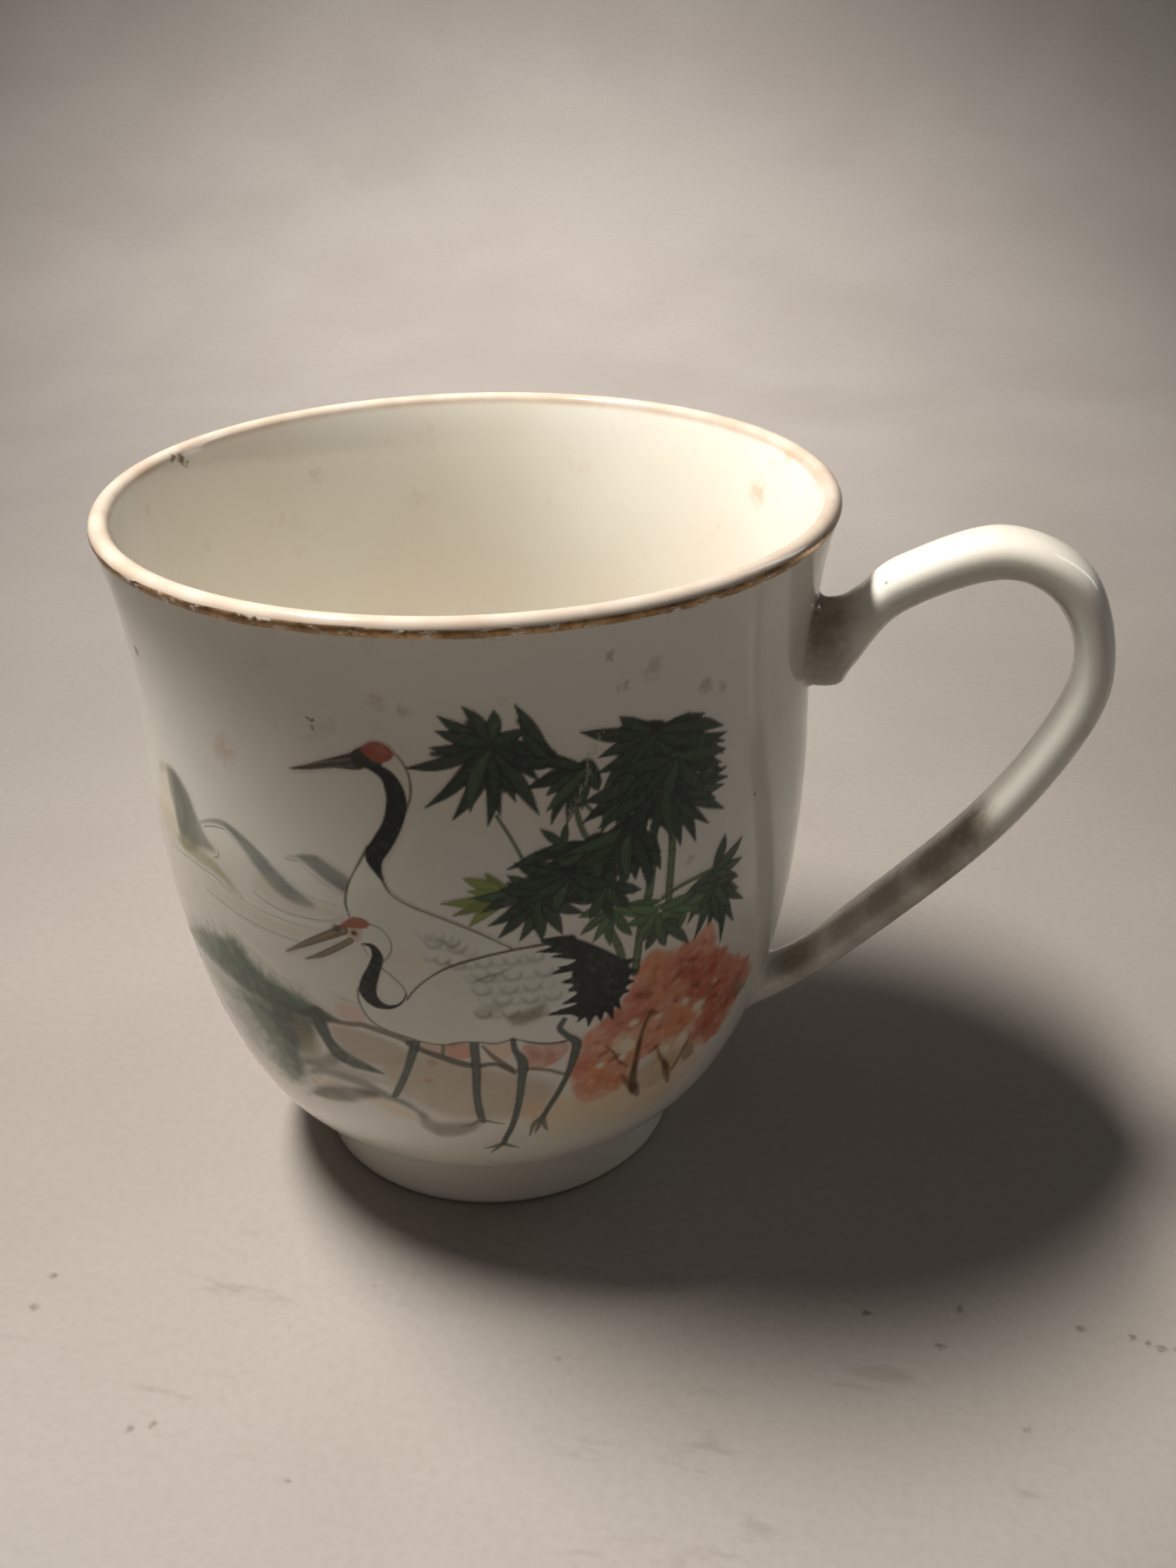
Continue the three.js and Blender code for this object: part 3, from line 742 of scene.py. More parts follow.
def paint_pine_bank(e):
    """A bank of pines, a crooked branch with a few blossoms, and the ground under the cranes."""
    rng = np.random.default_rng(11)
    cloud = 0.55 + 0.6 * e.mottle(1.6, 2)
    fleck = 0.5 + 0.7 * e.mottle(0.6, 3)
    green_grey, deep, pale = (0.145, 0.20, 0.165), (0.085, 0.125, 0.105), (0.36, 0.43, 0.35)

    e.wash([(-31, 37.4), (-22, 38), (-12, 37.5), (-11, 33), (-14, 28), (-17, 24.6), (-21, 26), (-26, 27),
            (-25, 30), (-29, 31), (-26, 33.6), (-31, 35)], pale, 0.60, 3.0, cloud)
    e.wash([(-37, 38), (-32.6, 41), (-27, 43.4), (-23, 44.4), (-20.2, 45.4), (-18.6, 43.2), (-15.5, 41.8),
            (-12, 41), (-9, 39.8), (-9.6, 38.2), (-14, 37.4), (-19, 37.4), (-25, 38.2), (-31, 38.4)],
           green_grey, 0.95, 1.8, cloud + 0.2)
    e.wash([(-28, 40.6), (-24, 42.2), (-20, 42.2), (-16, 41), (-11, 39.7), (-10, 38.4), (-16, 37.8),
            (-21, 38.4), (-26, 39.2)], deep, 0.75, 1.4, fleck + 0.1)
    e.wash([(-22, 36.4), (-15, 38), (-11, 37.6), (-10.4, 35.6), (-12, 33.4), (-14.4, 31.6), (-14.2, 29),
            (-15.2, 26.4), (-17.6, 24.6), (-19, 27), (-17.8, 30), (-19.6, 33)], (0.105, 0.145, 0.115), 0.95,
           1.8, cloud + 0.1)
    e.wash([(-19.5, 35), (-15, 37), (-11.6, 36.6), (-12.4, 33), (-14.6, 30.6), (-15, 27.4), (-17.4, 26),
            (-18.4, 30)], (0.070, 0.095, 0.082), 0.80, 2.0, fleck + 0.2)
    e.wash([(-13.5, 36), (-11, 36.2), (-10, 33.5), (-11.4, 30.5), (-13.6, 29.5), (-13.4, 33)],
           (0.36, 0.31, 0.20), 0.50, 1.4)
    crest = through([(-35, 39.6), (-30, 42.2), (-25, 43.8), (-20.5, 45), (-17, 42.4), (-13, 41.2),
                     (-9.6, 40)], 24)
    for start in crest:
        for drop, green in ((0.2, NEEDLE_PALE), (1.4, NEEDLE_DARK), (2.8, NEEDLE_DARK)):
            foot = start + rng.normal(0, 0.5, 2) - (0, drop)
            e.dash(foot, rng.normal(1.75, 0.5), rng.uniform(0.7, 1.7), [0.24, 0.04], green, 0.24, 0.7)
    edge = through([(-21.5, 36.6), (-19, 33.6), (-17.6, 30.4), (-18.4, 27), (-16.8, 25)], 22)
    for start in edge:
        foot = start + rng.normal(0.5, 0.9, 2)
        turn, reach = rng.uniform(3.3, 4.0), rng.uniform(1.5, 5.0)
        e.dash(foot, turn, reach, [0.5, 0.1], (0.24, 0.31, 0.24), 0.30, 1.1)
    for _ in range(HATCHES):
        foot = np.array([rng.uniform(-20, -11), rng.uniform(26, 37.5)])
        turn, reach = rng.uniform(0.6, 3.4), rng.uniform(0.5, 1.3)
        e.dash(foot, turn, reach, [0.26, 0.06], (0.10, 0.14, 0.105), 0.20, 0.7)

    bark = (0.085, 0.105, 0.09)
    e.stroke([(-15, 38.6), (-12, 38.4), (-10, 38.7), (-8.6, 39), (-6.6, 38.6)], [0.3, 0.5, 0.8, 0.9, 0.4],
             bark, 0.85, 0.7)
    e.stroke([(-7.6, 38.7), (-5.4, 38.6), (-3.6, 38.9), (-1.6, 38.5), (0.6, 37.9), (2.8, 36.9)],
             [0.3, 0.38, 0.4, 0.45, 0.45, 0.4], (0.20, 0.165, 0.125), 0.85, 0.4)
    e.stroke([(-9.2, 39.4), (-9.1, 37), (-8.6, 35.2), (-7.6, 33.6), (-6, 32.6), (-3.8, 32), (-2, 31.5)],
             [0.8, 1.0, 0.9, 1.15, 1.1, 0.6, 0.15], (0.105, 0.135, 0.115), 0.92, 0.7, grain=cloud + 0.3)
    e.stroke([(-7.6, 33.2), (-9.4, 31.4), (-11.6, 30.2), (-14, 29.6)], [0.9, 0.9, 0.7, 0.3],
             (0.18, 0.19, 0.165), 0.7, 1.0)
    for u, v, size in [(-9.7, 39.1, 1.1), (-8.4, 38.4, 0.9), (-7.4, 33.1, 1.2), (-5.6, 32.2, 0.8),
                       (-10.2, 37.4, 0.8)]:
        e.blob((u, v), size, (0.06, 0.075, 0.07), 0.75, 1.1, 0.7, 0.4, fleck + 0.1)
    e.wash([(-8, 31.5), (-4, 31), (-1.5, 29.8), (-5, 29.6), (-9, 29.8)], (0.42, 0.38, 0.33), 0.50, 1.4)

    e.wash([(-2, 33), (3, 36), (9, 34), (15, 32), (19, 29), (17, 25), (9, 24.5), (3, 26), (-1, 29)],
           (0.50, 0.425, 0.325), 0.62, 2.6, 0.7 + 0.35 * cloud)
    e.wash([(-7.5, 37.8), (-2, 37.6), (1.5, 35.8), (0.6, 33.5), (-4, 32.8), (-7, 34.6)],
           (0.53, 0.455, 0.37), 0.68, 1.2)
    e.stroke([(-13.4, 28), (-11, 29.3), (-8, 29.4), (-5, 29), (-2.6, 28)], [0.3, 0.7, 0.7, 0.8, 0.4],
             (0.20, 0.20, 0.165), 0.72, 1.1)
    e.stroke([(-14.4, 23.6), (-12, 24.8), (-9.4, 25.8), (-6.4, 26.8), (-3.8, 27.5), (-1.4, 27.2),
              (0.6, 26.2), (2, 24.8)], [0.3, 1.2, 1.5, 1.1, 0.8, 0.6, 0.5, 0.4], (0.175, 0.17, 0.14), 0.80,
             1.3, grain=cloud + 0.2)
    e.stroke([(2, 24.8), (2.6, 23), (3.8, 22.2), (5.4, 22.2), (7.6, 22.8), (9.4, 23.8)],
             [0.6, 1.2, 1.5, 1.5, 1.1, 0.4], (0.29, 0.25, 0.20), 0.65, 1.3, grain=cloud + 0.15)
    e.wash([(-5, 26.6), (-2, 26.2), (1, 24.8), (0.6, 23.6), (-3, 24.6)], (0.84, 0.66, 0.45), 0.45, 1.3)
    e.wash([(-13, 27.4), (-9, 27.6), (-10, 26.6), (-13, 25.8)], (0.80, 0.66, 0.47), 0.45, 1.0)

    e.wash([(15, 27), (22, 27), (30, 27.5), (38, 27), (42, 24), (38, 20), (30, 19.4), (22, 20.4), (16, 22.5)],
           (0.80, 0.59, 0.34), 0.48, 3.0, cloud + 0.2)
    e.wash([(18, 21), (28, 20), (38, 20), (34, 17.6), (24, 17.2), (17, 18.6)], (0.68, 0.64, 0.42), 0.30, 2.4)

    e.wash([(3.4, 37), (5.6, 36.8), (5.6, 35.7), (4, 35.8)], (0.70, 0.50, 0.42), 0.8, 0.4)
    e.wash([(6.2, 37), (8.8, 37.3), (9, 35.3), (7.4, 34.9), (6.2, 35.8)], (0.74, 0.42, 0.36), 0.9, 0.4)
    e.wash([(10.6, 37.1), (13.6, 37.1), (13.8, 35.4), (12.4, 34.6), (11, 35.6)], (0.80, 0.66, 0.58), 0.9, 0.4)
    e.wash([(15, 36.6), (17.4, 36.2), (20, 36.2), (20.3, 34.6), (18.4, 32.9), (15.6, 32.8)],
           (0.64, 0.335, 0.27), 0.85, 0.5, 0.6 + 0.6 * e.mottle(1.1, 5))
    e.wash([(-6.4, 41.4), (-4.4, 41.6), (-2.8, 40.6), (-3.4, 39.4), (-6, 39.4)], (0.74, 0.46, 0.40), 0.45,
           1.2)
    twig = (0.125, 0.115, 0.085)
    e.stroke([(2, 37), (3.6, 36), (5.6, 35.2), (7.6, 34.3), (9.6, 33.8), (11.6, 34), (13.2, 33.2),
              (14, 32.2)], [0.5, 0.42, 0.5, 0.5, 0.42, 0.3, 0.45, 0.2], twig, 0.9, 0.35)
    e.stroke([(10.4, 36.9), (11.4, 35.4), (12.6, 34), (14, 32.6)], [0.16, 0.3, 0.4, 0.3],
             (0.17, 0.13, 0.10), 0.85, 0.3)
    e.stroke([(5.9, 37), (5.8, 35.4)], [0.22, 0.22], twig, 0.8, 0.25)
    e.stroke([(14.6, 32.8), (16.4, 32.6), (18.2, 32), (19.6, 31.2), (21, 30.4)], [0.3, 0.26, 0.26, 0.24, 0.1],
             (0.23, 0.155, 0.10), 0.85, 0.3)
    e.stroke([(15.2, 37.2), (17.4, 36.4), (20, 36.2)], 0.14, twig, 0.8, 0.25)
    for u, v, size in [(4.4, 34.2, 0.6), (7, 37.2, 0.4), (3.6, 31.2, 0.5), (16.6, 35, 0.7),
                       (18.4, 34.4, 0.5)]:
        e.blob((u, v), size, (0.50, 0.24, 0.19), 0.45, 0.6)


# The petal and the shade of a blossom in each tone.
AZALEA_TONES = {
    "orange": ((0.76, 0.37, 0.22), (0.62, 0.23, 0.13)),
    "pink": ((0.80, 0.44, 0.32), (0.62, 0.24, 0.17)),
    "rose": ((0.70, 0.31, 0.235), (0.52, 0.15, 0.105)),
    "red": ((0.62, 0.21, 0.135), (0.46, 0.12, 0.075)),
    "cream": ((0.82, 0.70, 0.55), (0.72, 0.46, 0.32)),
}
# Each blossom of the bush: its place, its size and its tone.
BLOSSOMS = [
    (31.0, 43.4, 2.5, "orange"), (34.6, 43.0, 2.1, "rose"), (37.9, 44.2, 1.9, "pink"),
    (29.0, 40.4, 1.8, "rose"), (36.8, 40.8, 2.2, "red"), (32.6, 40.2, 1.9, "orange"),
    (40.2, 39.6, 2.5, "red"), (26.6, 37.2, 2.1, "rose"), (29.9, 37.6, 1.7, "rose"),
    (34.6, 37.6, 2.1, "pink"), (38.0, 37.0, 1.9, "red"), (43.2, 37.4, 2.4, "rose"),
    (24.0, 35.0, 2.0, "pink"), (27.4, 33.4, 1.5, "cream"), (32.4, 34.2, 2.4, "pink"),
    (35.8, 33.6, 2.2, "orange"), (38.8, 34.4, 1.2, "cream"), (41.4, 34.6, 2.6, "red"),
    (46.4, 35.0, 2.4, "rose"), (44.8, 31.6, 2.6, "red"), (22.6, 31.8, 1.9, "rose"),
    (24.4, 28.8, 2.4, "orange"), (27.3, 30.4, 1.5, "pink"), (27.2, 27.4, 1.5, "orange"),
    (40.9, 30.4, 2.3, "red"), (36.2, 29.5, 1.8, "cream"), (33.4, 29.4, 1.4, "cream"),
    (43.4, 28.4, 2.1, "rose"), (22.6, 28.0, 1.4, "pink"), (30.8, 31.8, 1.4, "pink"),
]


def paint_azalea(e):
    """A bush of azaleas: a loose mass of blossom in reds, pinks and cream on brown stems."""
    rng = np.random.default_rng(23)
    cloud = 0.55 + 0.65 * e.mottle(1.3, 6)
    brown, olive = (0.16, 0.085, 0.045), (0.30, 0.22, 0.11)
    e.wash([(20.4, 33), (22, 36.4), (25, 38.4), (27.4, 41), (28.2, 44.6), (31, 46), (34, 45.2), (36.6, 45.8),
            (38.8, 46.6), (39.6, 43.4), (42, 41), (45, 38.6), (48.4, 36), (50.6, 33.6), (48, 31), (46.4, 28),
            (43, 26.4), (39.6, 27.4), (36.4, 28.6), (31, 30), (28.6, 27), (26, 25.2), (22.4, 25.4), (21, 29)],
           (0.74, 0.40, 0.28), 0.80, 1.0, cloud + 0.15)
    for u, v, size, tone in BLOSSOMS:
        petal, shade = AZALEA_TONES[tone]
        first = rng.uniform(0, 2 * math.pi)
        for k in range(5):
            turn = first + k * 2 * math.pi / 5 + rng.uniform(-0.2, 0.2)
            reach = size * rng.uniform(0.50, 0.62)
            middle = (u + reach * math.cos(turn), v + reach * math.sin(turn))
            tint = np.array(petal) * rng.uniform(0.86, 1.12)
            e.blob(middle, size * 0.64, np.array(shade) * 0.95, 0.42, 0.9, 0.74, turn, cloud + 0.2)
            e.blob(middle + rng.normal(0, 0.15, 2), size * 0.52, tint, 0.62, 1.1, 0.66, turn, cloud + 0.3)
        e.blob((u, v), size * 0.22, np.array(shade) * 0.7, 0.45, 0.6)
    for _ in range(PETAL_EDGES):
        u, v, size, tone = BLOSSOMS[rng.integers(len(BLOSSOMS))]
        start = np.array([u, v]) + rng.normal(0, size * 0.6, 2)
        turn = rng.uniform(0, math.pi)
        reach = rng.uniform(0.3, 0.9) * np.array([math.cos(turn), math.sin(turn)])
        bend = start + reach * 0.5 + rng.normal(0, 0.15, 2)
        tint = AZALEA_TONES[tone][1] if rng.random() < 0.6 else (0.84, 0.56, 0.44)
        e.stroke([start, bend, start + reach], [0.06, 0.24, 0.06], tint, 0.34, 0.6, 3)
    for u, v, size in [(28, 33, 1.2), (27.4, 31.6, 0.8), (34, 29.6, 1.0), (36.6, 30, 1.3), (38.6, 34.6, 0.9),
                       (28.6, 36.4, 0.6), (32, 36, 0.5), (36, 36.6, 0.5), (41, 37, 0.4), (24.6, 31, 0.5)]:
        e.blob((u, v), size, (0.84, 0.76, 0.68), 0.85, 0.9, 0.75, rng.uniform(0, 3), cloud + 0.4)
    for u, v, length in [(29.6, 40.2, 1.4), (34, 41, 1.0), (37.4, 38.3, 1.0), (31.3, 36.9, 0.9),
                         (26.5, 31.7, 0.9), (32.2, 30.8, 0.9), (36.2, 42.6, 1.0), (41, 36.4, 1.4),
                         (24.9, 32.9, 0.8)]:
        e.blob((u, v), length, (0.33, 0.10, 0.055), 0.65, 0.6, 0.45, rng.uniform(-0.6, 0.6))
    e.wash([(45.5, 34.6), (47.6, 33.4), (49.6, 31.6), (47.6, 31), (45.6, 32.6)], olive, 0.7, 1.0)
    e.wash([(37.6, 29), (39.2, 28), (40, 26), (38.6, 25.4), (37.4, 27)], olive, 0.7, 0.8)
    e.wash([(31, 29), (36, 28.4), (37.4, 25.4), (33, 23.6), (30.4, 25.6)], (0.52, 0.36, 0.19), 0.55, 1.6,
           cloud)
    e.stroke([(30.9, 37.4), (30, 35), (29.7, 32), (29.6, 29), (29.7, 26.4), (30.4, 24.4), (31.2, 23)],
             [0.15, 0.25, 0.35, 0.50, 0.65, 0.7, 0.25], brown, 0.85, 0.7, grain=cloud + 0.3)
    e.stroke([(27.8, 28.2), (28.6, 26.8), (29.8, 25)], [0.2, 0.4, 0.4], brown, 0.75, 0.6)
    e.stroke([(32.4, 31), (33.6, 28.6), (34.8, 26.6), (35.6, 24.6), (36.4, 22.8)],
             [0.12, 0.25, 0.5, 0.55, 0.2], (0.22, 0.12, 0.065), 0.80, 0.7, grain=cloud + 0.3)
    e.stroke([(38.4, 30), (37.4, 27.6), (36.4, 25.2)], [0.15, 0.3, 0.3], (0.27, 0.16, 0.08), 0.8, 0.4)
    e.stroke([(25, 34.2), (26.2, 32.6), (27, 31), (28.4, 29.4)], [0.1, 0.2, 0.2, 0.15], brown, 0.7, 0.3)


LEAF_SHADOW = (0.019, 0.029, 0.021)
LEAF_DARK = (0.040, 0.070, 0.052)
LEAF_MID = (0.062, 0.118, 0.074)
LEAF_LIGHT = (0.098, 0.200, 0.100)
# The blade, edge and rib of a leaf in each tone: dark, middling, light and yellow.
LEAF_TONES = [
    (LEAF_DARK, LEAF_SHADOW, LEAF_MID),
    (LEAF_MID, (0.026, 0.044, 0.027), LEAF_LIGHT),
    (LEAF_LIGHT, (0.055, 0.095, 0.045), (0.19, 0.30, 0.17)),
    ((0.26, 0.31, 0.11), (0.20, 0.26, 0.08), (0.36, 0.40, 0.14)),
]

# Each spray of bamboo: the point its leaves hang from, a leaf's half width, its tone and the leaf tips.
SPRAYS = [
    ((38.4, 53.6), 0.62, 1,
     [(40.2, 57.6), (43.3, 56), (43.4, 53.2), (43, 50.9), (43.2, 49.2), (41.4, 48.6), (44.4, 47.2),
      (42.9, 44.8), (40.8, 42.8), (38.6, 46.6), (36.2, 45.4), (35, 48), (33, 50.4), (37, 49)]),
    ((34.6, 50.6), 0.62, 2,
     [(30.6, 52.2), (29.6, 50.4), (31.4, 49), (33.4, 47.6), (37.6, 48.2), (39.4, 50.6)]),
    ((31.2, 49.6), 0.58, 1, [(29, 48), (29.4, 46.6), (32, 46.2), (35.4, 45.2), (33.8, 48.8)]),
    ((25.2, 53.4), 0.55, 2,
     [(21.6, 50.9), (23, 49.6), (25, 48.6), (27.6, 49.2), (29.2, 51), (31.4, 52.6), (21.4, 53.2)]),
    ((14.4, 57), 0.62, 3,
     [(7, 56.3), (9.5, 59.3), (8.2, 54.8), (9.8, 57.8), (11.8, 59.9), (9.8, 53.4), (11, 55)]),
    ((17.2, 57), 0.66, 0,
     [(10.2, 56.9), (11.2, 55.2), (11.8, 53.4), (12.8, 51.8), (15, 51.2), (17.4, 50.8), (19.6, 51.4),
      (22, 53.6), (23.3, 55), (23.4, 57), (21.4, 59.2), (17.4, 60.6), (14, 59.4), (13.4, 57.9)]),
    ((24.6, 56.4), 0.60, 0, [(21, 55), (22.6, 52.6), (25, 52), (27.4, 52.8), (28.6, 54.8), (26, 53.4)]),
    ((28.4, 60.6), 0.64, 0, [(24.6, 57), (26, 55), (27.9, 56.3), (29.6, 54.6), (30.6, 58.8), (31, 56.6)]),
    ((23.6, 61.6), 0.70, 0,
     [(14, 60.1), (15, 58.6), (17, 61.5), (17.6, 59.4), (19.4, 57.6), (21.6, 56), (23.4, 56.6),
      (25.6, 55.4), (27.8, 57.4), (29.8, 59.2), (28.6, 61.6)]),
    ((20, 62), 0.42, 1, [(17.6, 64.4), (18.4, 61.8), (20.4, 64.8)]),
    ((28.2, 68.5), 0.80, 0, [(22.2, 66.8), (22, 64.4), (24, 62.8), (26, 61.6), (29, 61), (31.8, 61)]),
    ((27.4, 62.8), 0.76, 0, [(20.4, 61.2), (21.4, 59), (24, 57.6), (27, 56.4), (29.8, 56.4), (31, 58.6)]),
    ((20.4, 58.6), 0.72, 0, [(14.8, 60.8), (14.2, 58.2), (16, 56), (19, 54.4), (22.6, 54.6), (25.2, 56.4)]),
    ((30.8, 51.6), 0.58, 2,
     [(27, 53.2), (26.8, 50.8), (28.2, 48.6), (31.2, 47.2), (36.4, 49.4), (35.4, 52)]),
    ((38.8, 51.8), 0.60, 1,
     [(35.4, 52.6), (36.2, 49), (38.2, 46.4), (40.4, 45.6), (42, 47.4), (42.4, 51.6)]),
    ((31, 66.4), 0.74, 0,
     [(23.7, 63.4), (25.4, 61.2), (27.4, 60.6), (30, 60.4), (32.4, 59.6), (33.6, 58.6), (35.7, 58.4),
      (37.6, 59.9), (40, 60.8), (38.6, 62.6), (39.9, 63.8), (40.5, 64.5), (40.3, 65.8), (36, 61),
      (34, 61)]),
    ((22.4, 70.6), 0.60, 0,
     [(16, 69.2), (18.3, 68.2), (18.3, 66.4), (18.7, 64.8), (20.4, 64.6), (22, 66), (23.8, 67.8)]),
    ((30, 72.9), 0.80, 0,
     [(21.8, 74.9), (26, 75.8), (36.5, 73.4), (35.6, 72.2), (38, 71.8), (39.4, 71), (40, 70), (39.8, 69),
      (39.6, 67.6), (39.4, 66.6), (37.6, 65.6), (35.4, 65), (33, 64.6), (30.4, 65), (28, 65.6), (26, 66.4),
      (24.4, 68), (23.6, 69.8), (23.8, 71.6)]),
    ((33, 69.4), 0.78, 0,
     [(27, 67), (29, 65.4), (31.4, 64), (34, 63.4), (37, 64), (39.4, 65.6), (40, 68), (26.4, 69.4)]),
    ((13, 74.6), 0.72, 0,
     [(8, 78), (7.7, 76.3), (7, 74.4), (4.4, 72), (6.1, 67.5), (8.8, 66.1), (10.6, 67), (12.3, 65.3),
      (13.6, 66.4), (15.2, 67.8), (17.5, 66.1), (17.6, 70), (19, 71.6), (13.4, 78.4), (10.4, 79),
      (16.4, 76)]),
    ((18.6, 72.2), 0.62, 0, [(15.4, 78.9), (22.4, 70.8), (14.6, 72.6), (16, 75.6)]),
]
# Each stem and twig of bamboo: its path and its half width.
STEMS = [
    ([(32.4, 66), (32.5, 60), (32.2, 54), (32.1, 48)], 0.42),
    ([(23.5, 62), (23.8, 56), (24.9, 51), (26.2, 47.6), (26.8, 44)], 0.40),
    ([(30.2, 62), (29.7, 55), (28.7, 50), (28.2, 44)], 0.46),
    ([(21.4, 71), (21.3, 67), (22, 63.6), (23.4, 61)], 0.24),
    ([(31.4, 52.9), (34, 53.6), (38.4, 53.9)], 0.20),
    ([(13.2, 66.4), (14.6, 63.6), (15.8, 60.8)], 0.09),
    ([(22, 67), (24, 65), (27.4, 65.8)], 0.14),
]


def paint_leaf(e, root, tip, half, tone, rng):
    """A bamboo leaf: a dark edge, a paler blade and a fine midrib."""
    root, tip = np.array(root, float), np.array(tip, float)
    along = tip - root
    side = np.array([-along[1], along[0]]) * rng.uniform(-0.07, 0.07)
    points = [root, root + along * 0.3 + side, root + along * 0.65 + side, tip]
    swell = np.array([0.25, 1.05, 0.90, 0.02]) * half * rng.uniform(0.9, 1.15)
    body, edge, rib = LEAF_TONES[tone]
    body = np.array(body) * rng.uniform(0.75, 1.30)
    e.stroke(points, swell + 0.05, edge, 0.92, 0.20, 4)
    e.stroke(points, swell * 0.74, body, 0.88, 0.25, 4)
    e.stroke(points[:3], [0.03, 0.06, 0.02], rib, 0.55, 0.18, 4)


def paint_bamboo(e):
    """Bamboo with jointed stems and hanging sprays of leaves."""
    rng = np.random.default_rng(31)
    for path, half in STEMS:
        e.stroke(path, half + 0.08, (0.060, 0.095, 0.045), 0.92, 0.2)
        e.stroke(path, half * 0.62, (0.155, 0.235, 0.125), 0.80, 0.3)
        line = through(path, 12)
        if half > 0.3:
            for k in range(6, len(line), 9):
                e.stroke([line[k] - (half, 0), line[k] + (half, 0)], 0.10, (0.055, 0.075, 0.035), 0.8, 0.2, 1)
    for root, half, tone, tips in SPRAYS:
        order = rng.permutation(len(tips))
        spread = np.array(tips, float)
        for k in order:
            inner = np.array(root) + (spread[k] - root) * rng.uniform(0.45, 0.7) + rng.uniform(-0.9, 0.9, 2)
            start = np.array(root) + rng.uniform(-0.5, 0.5, 2)
            if tone == 0:
                e.stroke([start, inner], [half * 1.3, half * 0.5], LEAF_SHADOW, 0.85, 0.5, 1)
                paint_leaf(e, start, inner, half * 1.1, 1 if rng.random() < 0.35 else 0, rng)
        for k in order:
            start = np.array(root) + (spread[k] - root) * rng.uniform(0.0, 0.15)
            kind = 1 if tone == 0 and rng.random() < 0.20 else tone
            paint_leaf(e, start, spread[k], half, kind, rng)
    worn = through([(24.4, 74.4), (22.8, 71.8), (22.9, 70), (22, 68.2), (21.2, 66), (20, 64.6)], 12)
    for start in worn:
        turn = rng.uniform(0.9, 2.4)
        scratch = start + rng.uniform(0.3, 0.9) * np.array([math.cos(turn), math.sin(turn)])
        e.stroke([start + rng.normal(0, 0.2, 2), scratch], [0.05, 0.02], (0.50, 0.52, 0.46), 0.60, 0.16, 1)


def paint_scallops(e, rows, colour, strength, size):
    """Rows of small curved feather edges."""
    for (start_u, start_v), (end_u, end_v), count in rows:
        for k in range(count):
            t = k / max(count - 1, 1)
            u, v = start_u + (end_u - start_u) * t, start_v + (end_v - start_v) * t
            u, v = u + 0.35 * math.sin(7 * k + v), v + 0.35 * math.sin(5 * k + u)
            faint = strength * (0.75 + 0.35 * math.sin(3 * k + 2 * v))
            e.stroke([(u - size, v + size * 0.45), (u - size * 0.3, v - size * 0.4),
                      (u + size * 0.7, v - size * 0.25), (u + size * 1.05, v + size * 0.5)],
                     [0.05, 0.20, 0.22, 0.04], colour, faint, 0.6)


def paint_leg(e, points, widths):
    """A scaly blue-grey leg with a darker outline."""
    dark = (0.060, 0.074, 0.068)
    e.stroke(points, np.array(widths) * 1.08 + 0.07, dark, 0.92, 0.3)
    e.stroke(points, np.array(widths) * 0.72, LEG_GREY, 0.78, 0.3, grain=0.6 + 0.5 * e.mottle(0.7, 8))
    for at in through(points, 5)[2:-2]:
        e.stroke([at - (0.3, 0.05), at + (0.3, 0.05)], 0.05, dark, 0.45, 0.2, 1)


